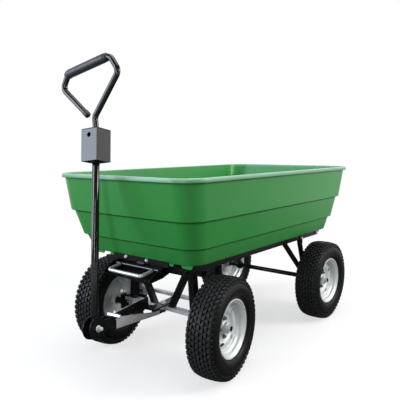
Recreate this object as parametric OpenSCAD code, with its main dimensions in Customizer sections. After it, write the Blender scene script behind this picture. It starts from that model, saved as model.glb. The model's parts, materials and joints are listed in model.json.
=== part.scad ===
// Tipping dump cart: a moulded tub hinged on a steel frame, steered front wheels and a folding pull handle.
// Lengths in millimetres. X points forward to the handle, Y to the cart's left, Z up, ground at zero.

/* [Wheels] */
// Outside diameter of a tyre
tyre_od = 400; // [360:1:440]
// Width of a tyre over its side walls
tyre_w = 121; // [105:1:130]
// Diameter of a rim over its flanges
rim_flange_d = 231; // [215:1:245]
// Width of a rim over its flanges
rim_w = 93; // [80:1:100]
// Diameter of the wheel spindles
spindle_d = 20; // [16:1:24]
// Length of a wheel hub
hub_len = 50; // [44:1:60]
// Number of tread pitches around a tyre
tread_n = 30; // [24:2:36]
// Depth of the tread grooves
tread_depth = 7; // [4:0.5:9]

/* [Layout] */
// Distance from the rear axle to the front axle
wheelbase = 890; // [820:5:960]
// Distance between the middle planes of a pair of wheels
track = 609; // [590:1:650]
// Angle the front wheels and the drawbar stand to the left
steer_rest = 8; // [0:1:10]

/* [Tub] */
// Width of the tub at its bottom edge
tub_floor_w = 604; // [560:2:640]
// Overhang of the bottom edge ahead of the front axle
tub_nose = 150; // [130:1:170]
// Overhang of the bottom edge behind the rear axle
tub_tail = 84; // [76:1:90]
// Height of the lowest tier
tier_low_h = 57; // [45:1:70]
// Height of the middle tier
tier_mid_h = 101; // [80:1:120]
// Height of the top tier
tier_top_h = 136; // [110:1:160]
// Width of the two ledges
ledge_w = 11; // [8:1:14]
// Rise of the two ledges
ledge_h = 4; // [3:0.5:6]
// Widening of the lowest tier to each side
side_flare_low = 14; // [8:1:20]
// Widening of the middle tier to each side
side_flare_mid = 18; // [12:1:24]
// Widening of the top tier to each side
side_flare_top = 9; // [6:1:16]
// Widening of the lowest tier to the front
front_flare_low = 26; // [16:1:32]
// Widening of the middle tier to the front
front_flare_mid = 33; // [20:1:36]
// Widening of the top tier to the front
front_flare_top = 25; // [16:1:28]
// Widening of the lowest tier to the rear
rear_flare_low = 15; // [8:1:24]
// Widening of the middle tier to the rear
rear_flare_mid = 24; // [14:1:32]
// Widening of the top tier to the rear
rear_flare_top = 44; // [30:1:50]
// Overhang of the rolled lip
lip_out = 11; // [8:1:14]
// Height of the rolled lip
lip_h = 17; // [12:1:24]
// Thickness of the tub's wall
tub_t = 5; // [4:0.5:7]
// Radius of the upright corners at the bottom edge
tub_corner_r = 68; // [50:1:80]

/* [Frame] */
// Height of the rails' underside above the axles
rail_lift = 214; // [208:1:230]
// Distance of a rail's outer face inside the middle of a wheel
rail_inset = 82.5; // [76:0.5:90]
// Height of the rails
rail_h = 24; // [20:1:30]
// Width of a rail's flanges
rail_w = 25; // [20:1:28]
// Thickness of the rails
rail_t = 3; // [2.5:0.5:4]
// Length of the rails behind the rear axle
rail_tail = 140; // [132:1:150]
// Distance of the tipping axis behind the rear axle
hinge_back = 105; // [100:1:110]
// Diameter of the tipping bolts
hinge_d = 10; // [8:1:12]
// Height of the rails under the tub
tub_rail_h = 25; // [22:1:30]
// Diameter of the rear axle between the wheels
axle_d = 24; // [22:1:28]

/* [Front axle] */
// Height of the zinc axle beam
beam_h = 15; // [12:1:18]
// Depth of the axle beam
beam_w = 30; // [26:1:34]
// Height of the beam's underside above the axles
beam_lift = 16; // [14:1:20]
// Distance of a kingpin inside the middle of a wheel
king_inset = 89.5; // [82:0.5:96]
// Diameter of the kingpins and the king bolt
king_d = 14; // [12:1:16]
// Distance of the track rod behind the front axle
arm_len = 95; // [85:1:105]
// Height of the track rod
track_rod_h = 13; // [10:1:16]

/* [Drawbar] */
// Distance of the handle's pivot ahead of the front axle
drawbar_len = 418; // [412:1:450]
// Height of the handle's pivot above the axles
clevis_lift = 65; // [62:1:70]
// Radius of the clevis ears
ear_r = 40; // [34:1:44]
// Thickness of the clevis ears
ear_t = 5; // [4:0.5:6]
// Angle the clevis stands swivelled to the right
clevis_roll = 6; // [0:1:6]
// Diameter of the handle's pivot bolt
pivot_d = 12; // [10:1:14]

/* [Handle] */
// Angle the handle leans back
handle_lean = 9.4; // [5:0.1:9.4]
// Diameter of the pole
pole_d = 26.9; // [24:0.1:28]
// Distance of the tow box's underside from the pivot
box_start = 588; // [560:1:640]
// Width and depth of the tow box
box_w = 74; // [66:1:80]
// Height of the tow box
box_h = 116; // [104:1:124]
// Thickness of the tow box
box_t = 3; // [2:0.5:4]
// Diameter of the tow pin hole
tow_pin_d = 16.5; // [13:0.5:18]
// Distance of the tow pin hole below the box's upper edge
tow_pin_drop = 22; // [18:1:28]
// Diameter of the D-handle's rod
rod_d = 21; // [18:0.5:22]
// Half the width of the D-handle
grip_half = 128; // [115:1:135]
// Height of the D-handle above the tow box
grip_rise = 244; // [225:1:260]
// Diameter of the foam grip
grip_d = 31; // [28:0.5:34]
// Rise of the grip's left end and drop of its right end
grip_slant = 14; // [0:1:18]
// Forward set of the D-handle's grip
grip_forward = 30; // [10:1:40]

/* [Hidden] */
$fn = 64;
// Running clearance of a turning pin
run = 0.05;
// Gap between pieces that move past each other
gap = 0.4;

// Heights and places that follow from the sizes above
axle_z = tyre_od / 2;
wheel_y = track / 2;
rail_y = wheel_y - rail_inset;
king_y = wheel_y - king_inset;
wheel_off = king_inset;
rail_z = axle_z + rail_lift;
rail_top = rail_z + rail_h;
hinge_x = -hinge_back;
hinge_z = rail_z + rail_h * 0.58;
floor_z = rail_top + gap + tub_rail_h;
floor_round = 8;
tub_half = tub_floor_w / 2;
tub_front = wheelbase + tub_nose;
tub_rear = -tub_tail;
low_z = floor_z + floor_round;
ledge1_z = low_z + tier_low_h;
mid_z = ledge1_z + ledge_h;
ledge2_z = mid_z + tier_mid_h;
top_z = ledge2_z + ledge_h;
lip_z = top_z + tier_top_h;
rim_z = lip_z + lip_h;
skirt_x = tub_front - 20;
cross_x = skirt_x - 14;
cross_w = 24;
bolster_h = 25;
bolster_w = 30;
beam_z = axle_z + beam_lift;
beam_top = beam_z + beam_h;
plate_t = 6;
strap_z = beam_top + 0.6;
strap_half = 20;
rod_z = strap_z + plate_t + 3;
leg_t = 16;
clevis_z = axle_z + clevis_lift;
ear_gap = pole_d + 1.1;
arm_h = 35;
arm_t = 6;
nose_x = drawbar_len - ear_r - 42;
hub_half = hub_len / 2;
spindle_end = hub_half + 13;
spindle_r = spindle_d / 2;
axle_r = axle_d / 2;

// The middle of the cart's length goes to the origin
x_rear = tub_rear - rear_flare_low - rear_flare_mid - rear_flare_top - 2 * ledge_w - lip_out;
x_front = wheelbase + (drawbar_len + ear_r) * cos(steer_rest) + (ear_gap / 2 + ear_t) * sin(steer_rest);
x_mid = (x_front + x_rear) / 2;

black = [0.03, 0.03, 0.035];
zinc = [0.75, 0.76, 0.78];
green = [0.12, 0.38, 0.14];
rubber = [0.02, 0.02, 0.02];

// Direction from one path point to the next
function heading(a, b) = atan2(b[1] - a[1], b[0] - a[0]);
// Turn at a path point, positive to the left
function raw_turn(a, b, c) = heading(b, c) - heading(a, b);
function wrap(t) = t > 180 ? t - 360 : t < -180 ? t + 360 : t;
function turn_at(p, i) = wrap(raw_turn(p[i - 1], p[i], p[i + 1]));
// Length a bend takes off the straight runs that meet in a path point
function trim_at(p, i, bend) = i == 0 || i == len(p) - 1 ? 0 : bend * tan(abs(turn_at(p, i)) / 2);

// A round rod that follows path points in the XY plane with rounded bends
module rod(p, r, bend) {
    for (i = [0 : len(p) - 2]) {
        a = heading(p[i], p[i + 1]);
        start = trim_at(p, i, bend);
        length = norm(p[i + 1] - p[i]) - start - trim_at(p, i + 1, bend);
        translate([p[i][0] + start * cos(a), p[i][1] + start * sin(a), 0])
            rotate([0, 90, a])
                cylinder(r = r, h = length);
    }
    for (i = [1 : 1 : len(p) - 2]) {
        t = turn_at(p, i);
        a = heading(p[i - 1], p[i]);
        side = t > 0 ? 1 : -1;
        d = trim_at(p, i, bend);
        translate([
            p[i][0] - d * cos(a) - side * bend * sin(a),
            p[i][1] - d * sin(a) + side * bend * cos(a),
            0])
            rotate([0, 0, side > 0 ? a - 90 : a + 90 + t])
                rotate_extrude(angle = abs(t))
                    translate([bend, 0])
                        circle(r = r);
    }
}

// A flat bar between two points of a plane, w wide and t thick
module strut(a, b, w, t) {
    translate([a[0], a[1], 0])
        rotate([0, 0, heading(a, b)])
            translate([0, -w / 2, 0])
                cube([norm(b - a), w, t]);
}

// Lays a shape drawn in XY into the upright plane along the cart, its thickness inward from y
module side_plane(y) {
    translate([0, y, 0])
        rotate([90, 0, 0])
            children();
}

// Lays a shape drawn in XY into the upright plane across the cart, its thickness forward from x
module cross_plane(x) {
    translate([x, 0, 0])
        rotate([90, 0, 90])
            children();
}

// A hexagon bolt head with its washer, standing on the XY plane
module bolt_head(d, h) {
    cylinder(r = d * 1.05, h = 1.6);
    translate([0, 0, 1.6])
        cylinder(r = d * 0.9, h = h, $fn = 6);
}

// Turns the steered front pieces about the king bolt
module steered() {
    translate([wheelbase, 0, 0])
        rotate([0, 0, steer_rest])
            children();
}

// Turns a left knuckle's pieces about its kingpin
module at_knuckle_left() {
    translate([wheelbase, king_y, 0])
        rotate([0, 0, steer_rest])
            children();
}

// Turns a right knuckle's pieces about its kingpin
module at_knuckle_right() {
    translate([wheelbase, -king_y, 0])
        rotate([0, 0, steer_rest])
            mirror([0, 1, 0])
                children();
}

// Swivels the clevis pieces about the drawbar's long axis
module swivelled() {
    steered()
        translate([0, 0, clevis_z])
            rotate([clevis_roll, 0, 0])
                children();
}

// Leans the handle pieces back about the pivot bolt
module leaned() {
    swivelled()
        translate([drawbar_len, 0, 0])
            rotate([0, -handle_lean, 0])
                children();
}

// One rounded corner of a tub level
corner_n = 8;
function corner(x, y, r, a) =
    [for (k = [0 : corner_n]) [x + r * cos(a + 90 * k / corner_n), y + r * sin(a + 90 * k / corner_n)]];
// The outline of a rounded rectangle, counted from its front left corner
function outline(front, rear, half, r) = concat(
    corner(front - r, half - r, r, 0),
    corner(rear + r, half - r, r, 90),
    corner(rear + r, r - half, r, 180),
    corner(front - r, r - half, r, 270));
// A tub level: height, front, rear, half width, corner radius, all drawn in by d
function level(z, front, rear, half, r, d) =
    [for (p = outline(front - d, rear + d, half - d, r - d)) [p[0], p[1], z]];
// The seven outlines of the tub's tiers from the bottom edge to the lip
function widen(e, f) = [e[0] + f[0], e[1] - f[1], e[2] + f[2], e[3] + f[3]];
ledge = [ledge_w, ledge_w, ledge_w, 2];
edge0 = [tub_front, tub_rear, tub_half, tub_corner_r];
edge1 = widen(edge0, [front_flare_low, rear_flare_low, side_flare_low, 6]);
edge2 = widen(edge1, ledge);
edge3 = widen(edge2, [front_flare_mid, rear_flare_mid, side_flare_mid, 6]);
edge4 = widen(edge3, ledge);
edge5 = widen(edge4, [front_flare_top, rear_flare_top, side_flare_top, 6]);
edge6 = widen(edge5, [lip_out, lip_out, lip_out, lip_out]);
function ring(z, e, d) = level(z, e[0], e[1], e[2], e[3], d);
tub_levels = [
    ring(floor_z, edge0, 10),
    ring(floor_z + 2.5, edge0, 3.5),
    ring(low_z, edge0, 0),
    ring(ledge1_z, edge1, 0),
    ring(mid_z, edge2, 0),
    ring(ledge2_z, edge3, 0),
    ring(top_z, edge4, 0),
    ring(rim_z - tub_t, edge5, 0),
    ring(rim_z - tub_t, edge6, tub_t),
    ring(lip_z, edge6, tub_t),
    ring(lip_z, edge6, 0),
    ring(rim_z - 4, edge6, 0),
    ring(rim_z - 1.2, edge6, 1.2),
    ring(rim_z, edge6, 4),
    ring(rim_z, edge5, tub_t - 2),
    ring(rim_z - 2, edge5, tub_t),
    ring(top_z + tub_t, edge4, tub_t),
    ring(ledge2_z + tub_t, edge3, tub_t),
    ring(mid_z + tub_t, edge2, tub_t),
    ring(ledge1_z + tub_t, edge1, tub_t),
    ring(low_z + tub_t, edge0, tub_t),
    ring(floor_z + tub_t + 3, edge0, tub_t + 4),
    ring(floor_z + tub_t, edge0, tub_t + 12)];

// Skins a row of levels, closed by the first and the last
module skin(levels) {
    n = len(levels[0]);
    m = len(levels);
    points = [for (l = levels) for (p = l) p];
    bottom = [[for (i = [0 : n - 1]) i]];
    top = [[for (i = [n - 1 : -1 : 0]) (m - 1) * n + i]];
    lower = [for (j = [0 : m - 2]) for (i = [0 : n - 1])
        [j * n + i, (j + 1) * n + i, (j + 1) * n + (i + 1) % n]];
    upper = [for (j = [0 : m - 2]) for (i = [0 : n - 1])
        [j * n + i, (j + 1) * n + (i + 1) % n, j * n + (i + 1) % n]];
    polyhedron(points = points, faces = concat(bottom, top, lower, upper));
}

// The tub with the skirt under its front
skirt_half = 275;
skirt_h = 17;
module tub() {
    color(green)
        translate([-x_mid, 0, 0])
            union() {
                skin(tub_levels);
                difference() {
                    translate([skirt_x - tub_t, -skirt_half, floor_z - skirt_h])
                        cube([tub_t, 2 * skirt_half, skirt_h + 3]);
                    for (y = [-198, 198])
                        translate([skirt_x - tub_t - 1, y - 23, floor_z - skirt_h - 1])
                            cube([tub_t + 2, 46, 12]);
                }
            }
}

// A steel rail under the tub with the ear that turns on the tipping bolt
tub_rail_in = rail_y - rail_w - 6.5;
tub_rail_x = hinge_x + 10;
module tub_rail() {
    difference() {
        union() {
            translate([tub_rail_x, tub_rail_in, rail_top + gap])
                cube([cross_x - cross_w - tub_rail_x, rail_y - tub_rail_in, tub_rail_h]);
            side_plane(tub_rail_in + 5)
                linear_extrude(5)
                    polygon([
                        [hinge_x - 14, hinge_z - 10],
                        [hinge_x - 6, hinge_z - 13],
                        [hinge_x + 20, hinge_z - 13],
                        [hinge_x + 60, rail_top + gap + 2],
                        [hinge_x + 60, floor_z],
                        [tub_rail_x, floor_z],
                        [hinge_x - 14, rail_top + gap + 6]]);
        }
        translate([hinge_x + 24, tub_rail_in + 5, rail_top + gap - 1])
            cube([wheelbase, rail_y - tub_rail_in - 8, tub_rail_h - 2]);
        side_plane(rail_y + 1)
            translate([hinge_x, hinge_z, 0])
                cylinder(r = hinge_d / 2 + run, h = rail_w + 20);
    }
}

module tub_rail_left() {
    color(black)
        translate([-x_mid, 0, 0])
            tub_rail();
}

module tub_rail_right() {
    color(black)
        translate([-x_mid, 0, 0])
            mirror([0, 1, 0])
                tub_rail();
}

// The latch plate on the skirt with the window for the catch
latch_half = 155;
latch_z = floor_z - 25;
latch_t = 4;
window_z = latch_z + 2.5;
module latch_plate() {
    color(black)
        translate([-x_mid, 0, 0])
            difference() {
                translate([skirt_x, -latch_half, latch_z])
                    cube([latch_t, 2 * latch_half, 24.5]);
                translate([skirt_x - 1, -23, window_z])
                    cube([latch_t + 2, 46, 5.5]);
            }
}

// The two zinc bolts of the latch plate
module latch_bolts() {
    color(zinc)
        translate([-x_mid, 0, 0])
            for (y = [-77, 41])
                translate([skirt_x + latch_t, y, latch_z + 14.5])
                    rotate([0, 90, 0])
                        bolt_head(6.5, 5);
}

// A frame rail: a channel open to the inside with a slanted tail
module rail() {
    difference() {
        translate([-rail_tail, rail_y - rail_w, rail_z])
            cube([cross_x - cross_w + rail_tail, rail_w, rail_h]);
        translate([-rail_tail - 1, rail_y - rail_w - 1, rail_z + rail_t])
            cube([cross_x + rail_tail + 2, rail_w - rail_t + 1, rail_h - 2 * rail_t]);
        side_plane(rail_y + 1)
            linear_extrude(rail_w + 2)
                polygon([
                    [-rail_tail - 1, rail_z - 1],
                    [-rail_tail + 18, rail_z - 1],
                    [-rail_tail - 1, rail_z + rail_h * 0.7]]);
        side_plane(rail_y + 1)
            translate([hinge_x, hinge_z, 0])
                cylinder(r = hinge_d / 2 + run, h = rail_w + 2);
    }
}

module rail_left() {
    color(black)
        translate([-x_mid, 0, 0])
            rail();
}

module rail_right() {
    color(black)
        translate([-x_mid, 0, 0])
            mirror([0, 1, 0])
                rail();
}

// The tipping bolts, each with a head outside and a nut inside
module hinge_bolts() {
    color(black)
        translate([-x_mid, 0, 0])
            for (s = [0, 1])
                mirror([0, s, 0])
                    translate([hinge_x, 0, hinge_z]) {
                        translate([0, tub_rail_in - 9, 0])
                            rotate([-90, 0, 0])
                                cylinder(r = hinge_d / 2, h = rail_y - tub_rail_in + 9);
                        translate([0, rail_y, 0])
                            rotate([-90, 0, 0])
                                bolt_head(hinge_d, 6);
                        translate([0, tub_rail_in - gap, 0])
                            rotate([90, 0, 0])
                                bolt_head(hinge_d, 6);
                    }
}

// The front cross-member that closes the rails
module front_crossmember() {
    color(black)
        translate([-x_mid, 0, 0])
            difference() {
                translate([cross_x - cross_w, -rail_y, rail_z])
                    cube([cross_w, 2 * rail_y, rail_h]);
                translate([cross_x - cross_w - 1, -rail_y - 1, rail_z + rail_t])
                    cube([cross_w - rail_t + 1, 2 * rail_y + 2, rail_h - 2 * rail_t]);
            }
}

// The bolster across the rails' underside over the front axle
module bolster() {
    color(black)
        translate([-x_mid, 0, 0])
            difference() {
                translate([wheelbase - bolster_w / 2, -rail_y, rail_z - bolster_h])
                    cube([bolster_w, 2 * rail_y, bolster_h]);
                translate([wheelbase - bolster_w / 2 + rail_t, -rail_y - 1, rail_z - bolster_h + rail_t])
                    cube([bolster_w - 2 * rail_t, 2 * rail_y + 2, bolster_h - 2 * rail_t]);
            }
}

// The rear cross-member inside the rails
module rear_crossmember() {
    color(black)
        translate([-x_mid, 0, 0])
            translate([65, rail_t - rail_y, rail_z + rail_t])
                cube([20, 2 * (rail_y - rail_t), rail_h - 2 * rail_t]);
}

// A rear leg: upright and brace from the rail to the axle's sleeve
leg_y = rail_y - 2;
upright_x = 75;
brace_x = 232;
// The two bars of a rear leg and its eye for the axle, cut off level under the rail
module leg_outline() {
    difference() {
        union() {
            leg_bar([upright_x * 1.02, rail_z + 5], 24);
            leg_bar([brace_x * 1.03, rail_z + 6], 20);
            translate([0, axle_z])
                circle(r = axle_r + 7);
        }
        translate([-60, rail_z])
            square([420, 60]);
    }
}

// One bar from the axle up to a point under the rail
module leg_bar(top, w) {
    translate([0, axle_z])
        rotate([0, 0, heading([0, axle_z], top)])
            translate([0, -w / 2])
                square([norm(top - [0, axle_z]), w]);
}

module rear_leg() {
    difference() {
        union() {
            side_plane(leg_y)
                linear_extrude(height = leg_t)
                    leg_outline();
            side_plane(leg_y + 4)
                translate([0, axle_z, 0])
                    cylinder(r = axle_r + 9, h = leg_t + 8);
            translate([upright_x - 14, leg_y - leg_t / 2, rail_z - 22])
                cube([28, rail_y - leg_y + leg_t / 2 + 3, 21.5]);
            translate([upright_x - 14, rail_y + 0.2, rail_z - 22])
                cube([28, 2.8, 22 + rail_h - 3]);
        }
        translate([0, rail_y + 20, axle_z])
            rotate([90, 0, 0])
                cylinder(r = axle_r + 0.02, h = 80);
    }
}

module rear_leg_left() {
    color(black)
        translate([-x_mid, 0, 0])
            rear_leg();
}

module rear_leg_right() {
    color(black)
        translate([-x_mid, 0, 0])
            mirror([0, 1, 0])
                rear_leg();
}

// The rear axle with its two spindles
module rear_axle() {
    color(black)
        translate([-x_mid, 0, axle_z])
            rotate([-90, 0, 0]) {
                translate([0, 0, hub_half + 0.5 - wheel_y])
                    cylinder(r = axle_r, h = 2 * (wheel_y - hub_half - 0.5));
                translate([0, 0, -wheel_y - spindle_end])
                    cylinder(r = spindle_r, h = 2 * (wheel_y + spindle_end));
            }
}

// A front leg from the bolster down to the axle beam
module front_leg() {
    cross_plane(wheelbase - 14)
        linear_extrude(28)
            polygon([
                [king_y - 56, beam_top],
                [king_y - fork_r - 8, beam_top],
                [king_y - 38, rail_z - bolster_h],
                [king_y - 68, rail_z - bolster_h]]);
}

module front_leg_left() {
    color(black)
        translate([-x_mid, 0, 0])
            front_leg();
}

module front_leg_right() {
    color(black)
        translate([-x_mid, 0, 0])
            mirror([0, 1, 0])
                front_leg();
}

// A diagonal brace from the bolster to the middle of the axle beam
brace_foot = strap_half + 15;
module front_brace() {
    cross_plane(wheelbase - 11)
        linear_extrude(22)
            polygon([
                [brace_foot, beam_top],
                [brace_foot + 28, beam_top],
                [king_y - 68, rail_z - bolster_h],
                [king_y - 96, rail_z - bolster_h]]);
}

module front_brace_left() {
    color(black)
        translate([-x_mid, 0, 0])
            front_brace();
}

module front_brace_right() {
    color(black)
        translate([-x_mid, 0, 0])
            mirror([0, 1, 0])
                front_brace();
}

// The zinc axle beam with the bores of the king bolt and the kingpins
module front_beam() {
    color(zinc)
        translate([-x_mid, 0, 0])
            difference() {
                union() {
                    translate([wheelbase - beam_w / 2, -king_y, beam_z])
                        cube([beam_w, 2 * king_y, beam_h]);
                    for (y = [-king_y, king_y])
                        translate([wheelbase, y, beam_z])
                            cylinder(r = beam_w / 2, h = beam_h);
                }
                for (y = [-king_y, 0, king_y])
                    translate([wheelbase, y, beam_z - 1])
                        cylinder(r = king_d / 2 + 0.02, h = beam_h + 2);
            }
}

// The king bolt in the middle of the axle beam
under_z = beam_z - 0.6 - plate_t;
module king_bolt() {
    color(zinc)
        translate([wheelbase - x_mid, 0, 0]) {
            translate([0, 0, under_z - gap - 9])
                cylinder(r = king_d / 2, h = strap_z + plate_t + gap - under_z + gap + 12);
            translate([0, 0, strap_z + plate_t + gap])
                bolt_head(king_d * 0.85, 7);
            translate([0, 0, under_z - gap])
                rotate([180, 0, 0])
                    bolt_head(king_d * 0.85, 8);
        }
}

// The two kingpins on which the knuckles turn
module kingpins() {
    color(zinc)
        translate([-x_mid, 0, 0])
            for (y = [-king_y, king_y])
                translate([wheelbase, y, 0]) {
                    translate([0, 0, under_z - gap - 6])
                        cylinder(r = king_d / 2, h = strap_z + plate_t + gap - under_z + gap + 8);
                    translate([0, 0, strap_z + plate_t + gap])
                        bolt_head(king_d * 0.75, 6);
                    translate([0, 0, under_z - gap])
                        rotate([180, 0, 0])
                            cylinder(r = king_d * 0.75, h = 6);
                }
}

// The folded bracket that carries the release bar
bar_d = 14;
bar_x = skirt_x + 16;
bar_z = rail_z + 10;
bar_tip = [71, -11];
wall_in = 127;
wall_t = 3;
module latch_bracket() {
    color(black)
        translate([-x_mid, 0, 0])
            difference() {
                union() {
                    for (s = [0, 1])
                        mirror([0, s, 0])
                            side_plane(wall_in + wall_t)
                                linear_extrude(wall_t)
                                    polygon([
                                        [cross_x - 22, rail_z],
                                        [cross_x - 10, rail_z - 8],
                                        [cross_x + 22, rail_z - 18],
                                        [cross_x + 89, rail_z - 25],
                                        [cross_x + 94, rail_z - 13],
                                        [bar_x + 10, bar_z + 10],
                                        [cross_x, bar_z + 12],
                                        [cross_x, rail_z]]);
                    side_plane(wall_in)
                        linear_extrude(2 * wall_in)
                            polygon([
                                [cross_x - 22, rail_z],
                                [cross_x - 10, rail_z - 8],
                                [cross_x + 22, rail_z - 18],
                                [cross_x + 89, rail_z - 25],
                                [cross_x + 90, rail_z - 22],
                                [cross_x + 22.5, rail_z - 15],
                                [cross_x - 8, rail_z - 5],
                                [cross_x - 14, rail_z]]);
                }
                translate([bar_x, wall_in + wall_t + 1, bar_z])
                    rotate([90, 0, 0])
                        cylinder(r = bar_d / 2 + run, h = 2 * (wall_in + wall_t + 1));
            }
}

// The zinc release bar: cross rod, bent U and the catch behind the latch plate
bar_half = 91;
catch_gap = 0.6;
module release_bar() {
    color(zinc)
        translate([-x_mid, 0, 0]) {
            translate([bar_x, wall_in + wall_t + 6, bar_z])
                rotate([90, 0, 0])
                    cylinder(r = bar_d / 2, h = 2 * (wall_in + wall_t + 6));
            for (s = [0, 1])
                mirror([0, s, 0])
                    translate([bar_x, wall_in + wall_t + gap, bar_z])
                        rotate([-90, 0, 0])
                            cylinder(r = bar_d / 2 + 3, h = 4);
            translate([bar_x, 0, bar_z])
                rotate([0, -atan2(bar_tip[1], bar_tip[0]), 0])
                    rod([
                        [0, -bar_half],
                        [norm(bar_tip), -bar_half],
                        [norm(bar_tip), bar_half],
                        [0, bar_half]], bar_d / 2, 16);
            side_plane(20)
                linear_extrude(40)
                    polygon([
                        [bar_x, bar_z - 5],
                        [bar_x, bar_z + 5],
                        [skirt_x + latch_t + 1, latch_z - 3.5],
                        [skirt_x - catch_gap, latch_z - 3.5],
                        [skirt_x - catch_gap, window_z + 4.5],
                        [skirt_x - 5, window_z + 4.5],
                        [skirt_x - 5, latch_z - 9]]);
        }
}

// The zinc frame bolts, all of one kind
module frame_bolts() {
    color(zinc)
        translate([-x_mid, 0, 0]) {
            for (s = [0, 1])
                mirror([0, s, 0]) {
                    translate([upright_x, rail_y + 3, rail_z + 10])
                        rotate([-90, 0, 0])
                            bolt_head(7, 5);
                    for (y = [king_y - 81, king_y - 50])
                        translate([wheelbase + bolster_w / 2, y, rail_z - bolster_h / 2])
                            rotate([0, 90, 0])
                                bolt_head(7, 5);
                }
        }
}

// The drawbar: pivot strap over the axle beam, the right arm and the nose plate
arm_back = 50;
arm_spread = 46;
nose_spread = 22;
module drawbar() {
    color(black)
        translate([-x_mid, 0, 0])
            steered()
                difference() {
                    union() {
                        translate([-arm_len - 16, -strap_half, strap_z])
                            cube([arm_len + 16 + arm_back + 12, 2 * strap_half, plate_t]);
                        translate([arm_back - 4, -arm_spread - arm_t, strap_z])
                            cube([44, arm_spread + arm_t + strap_half, plate_t]);
                        translate([-20, -strap_half, under_z])
                            cube([arm_back + 26, 2 * strap_half, plate_t]);
                        translate([arm_back, -strap_half, under_z])
                            cube([plate_t, 2 * strap_half, strap_z - under_z + plate_t]);
                        translate([0, 0, strap_z + plate_t])
                            linear_extrude(arm_h)
                                polygon([
                                    [arm_back, arm_t - arm_spread],
                                    [nose_x, arm_t - nose_spread],
                                    [nose_x, -nose_spread],
                                    [arm_back, -arm_spread]]);
                        translate([nose_x - 6, -nose_spread, strap_z + plate_t])
                            cube([6, 2 * nose_spread, clevis_z - strap_z - plate_t + 16]);
                    }
                    for (x = [-arm_len, 0])
                        translate([x, 0, under_z - 1])
                            cylinder(
                                r = (x == 0 ? king_d : pivot_d) / 2 + run,
                                h = strap_z - under_z + plate_t + 2);
                    translate([nose_x - 7, 0, clevis_z])
                        rotate([0, 90, 0])
                            cylinder(r = 8 + run, h = 8);
                }
}

// The stay of the drawbar: a flat bar on its left, down to the plate under the beam
stay_back = arm_back + plate_t;
stay_top = strap_z + plate_t + arm_h;
module draw_stay() {
    color(zinc)
        translate([-x_mid, 0, 0])
            steered()
                side_plane(nose_spread)
                    linear_extrude(arm_t)
                        polygon([
                            [stay_back, under_z],
                            [nose_x - 6, strap_z + plate_t],
                            [nose_x - 6, stay_top],
                            [nose_x - 44, stay_top],
                            [stay_back + 36, beam_top - 2],
                            [stay_back, beam_top - 5]]);
}

// The zinc stop bar across the drawbar's arms, a hexagon lying on one flat
stop_half = 6.5;
module stop_bolt() {
    color(zinc)
        translate([-x_mid, 0, 0])
            steered()
                translate([nose_x - 24, 0, strap_z + plate_t + arm_h + stop_half])
                    rotate([90, 0, 0])
                        translate([0, 0, -nose_spread - 7])
                            cylinder(r = stop_half / cos(30), h = 2 * nose_spread + 14, $fn = 6);
}

// The clevis: two round ears on a swivel plate with its stud
module clevis() {
    color(black)
        translate([-x_mid, 0, 0])
            swivelled()
                difference() {
                    union() {
                        for (s = [0, 1])
                            mirror([0, s, 0])
                                translate([0, ear_gap / 2 + ear_t, 0])
                                    rotate([90, 0, 0]) {
                                        translate([drawbar_len, 0, 0])
                                            cylinder(r = ear_r, h = ear_t);
                                        translate([nose_x + gap, -20, 0])
                                            cube([drawbar_len - nose_x - gap, 40, ear_t]);
                                    }
                        translate([nose_x + gap, -ear_gap / 2 - ear_t, -20])
                            cube([6, ear_gap + 2 * ear_t, 40]);
                        translate([nose_x - 20, 0, 0])
                            rotate([0, 90, 0])
                                cylinder(r = 8, h = 24);
                        translate([nose_x - 6 - gap - 8, 0, 0])
                            rotate([0, 90, 0])
                                cylinder(r = 13, h = 8, $fn = 6);
                    }
                    translate([drawbar_len, ear_gap, 0])
                        rotate([90, 0, 0])
                            cylinder(r = pivot_d / 2 + 0.02, h = 2 * ear_gap);
                }
}

// The zinc pivot bolt through the ears and the pole
module pivot_bolt() {
    color(zinc)
        translate([-x_mid, 0, 0])
            swivelled()
                translate([drawbar_len, 0, 0]) {
                    rotate([90, 0, 0])
                        translate([0, 0, -ear_gap / 2 - ear_t - 17])
                            cylinder(r = pivot_d / 2, h = ear_gap + 2 * ear_t + 29);
                    translate([0, ear_gap / 2 + ear_t, 0])
                        rotate([-90, 0, 0])
                            bolt_head(pivot_d * 0.8, 8);
                    translate([0, -ear_gap / 2 - ear_t, 0])
                        rotate([90, 0, 0])
                            bolt_head(pivot_d * 0.8, 9);
                }
}

// The pole: a tube with a plugged foot that turns on the pivot bolt
pole_r = pole_d / 2;
box_floor = box_start + 8;
foot_h = 26;
module pole() {
    color(black)
        translate([-x_mid, 0, 0])
            leaned()
                difference() {
                    translate([0, 0, -foot_h])
                        cylinder(r = pole_r, h = box_floor + foot_h);
                    translate([0, 0, foot_h])
                        cylinder(r = pole_r - 2.6, h = box_floor);
                    rotate([90, 0, 0])
                        translate([0, 0, -pole_r - 1])
                            cylinder(r = pivot_d / 2 + run, h = pole_d + 2);
                }
}

// The tow box: a square sheet tube with a floor and the tow pin hole through front and back
box_top = box_start + box_h;
module tow_box() {
    color(black)
        translate([-x_mid, 0, 0])
            leaned()
                difference() {
                    translate([-box_w / 2, -box_w / 2, box_start])
                        cube([box_w, box_w, box_h]);
                    translate([box_t - box_w / 2, box_t - box_w / 2, box_floor + 5])
                        cube([box_w - 2 * box_t, box_w - 2 * box_t, box_h]);
                    translate([box_t - box_w / 2, box_t - box_w / 2, box_start - 1])
                        cube([box_w - 2 * box_t, box_w - 2 * box_t, 1 + box_floor - box_start]);
                    translate([-box_w, 0, box_top - tow_pin_drop])
                        rotate([0, 90, 0])
                            cylinder(r = tow_pin_d / 2, h = 2 * box_w);
                }
}

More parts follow.
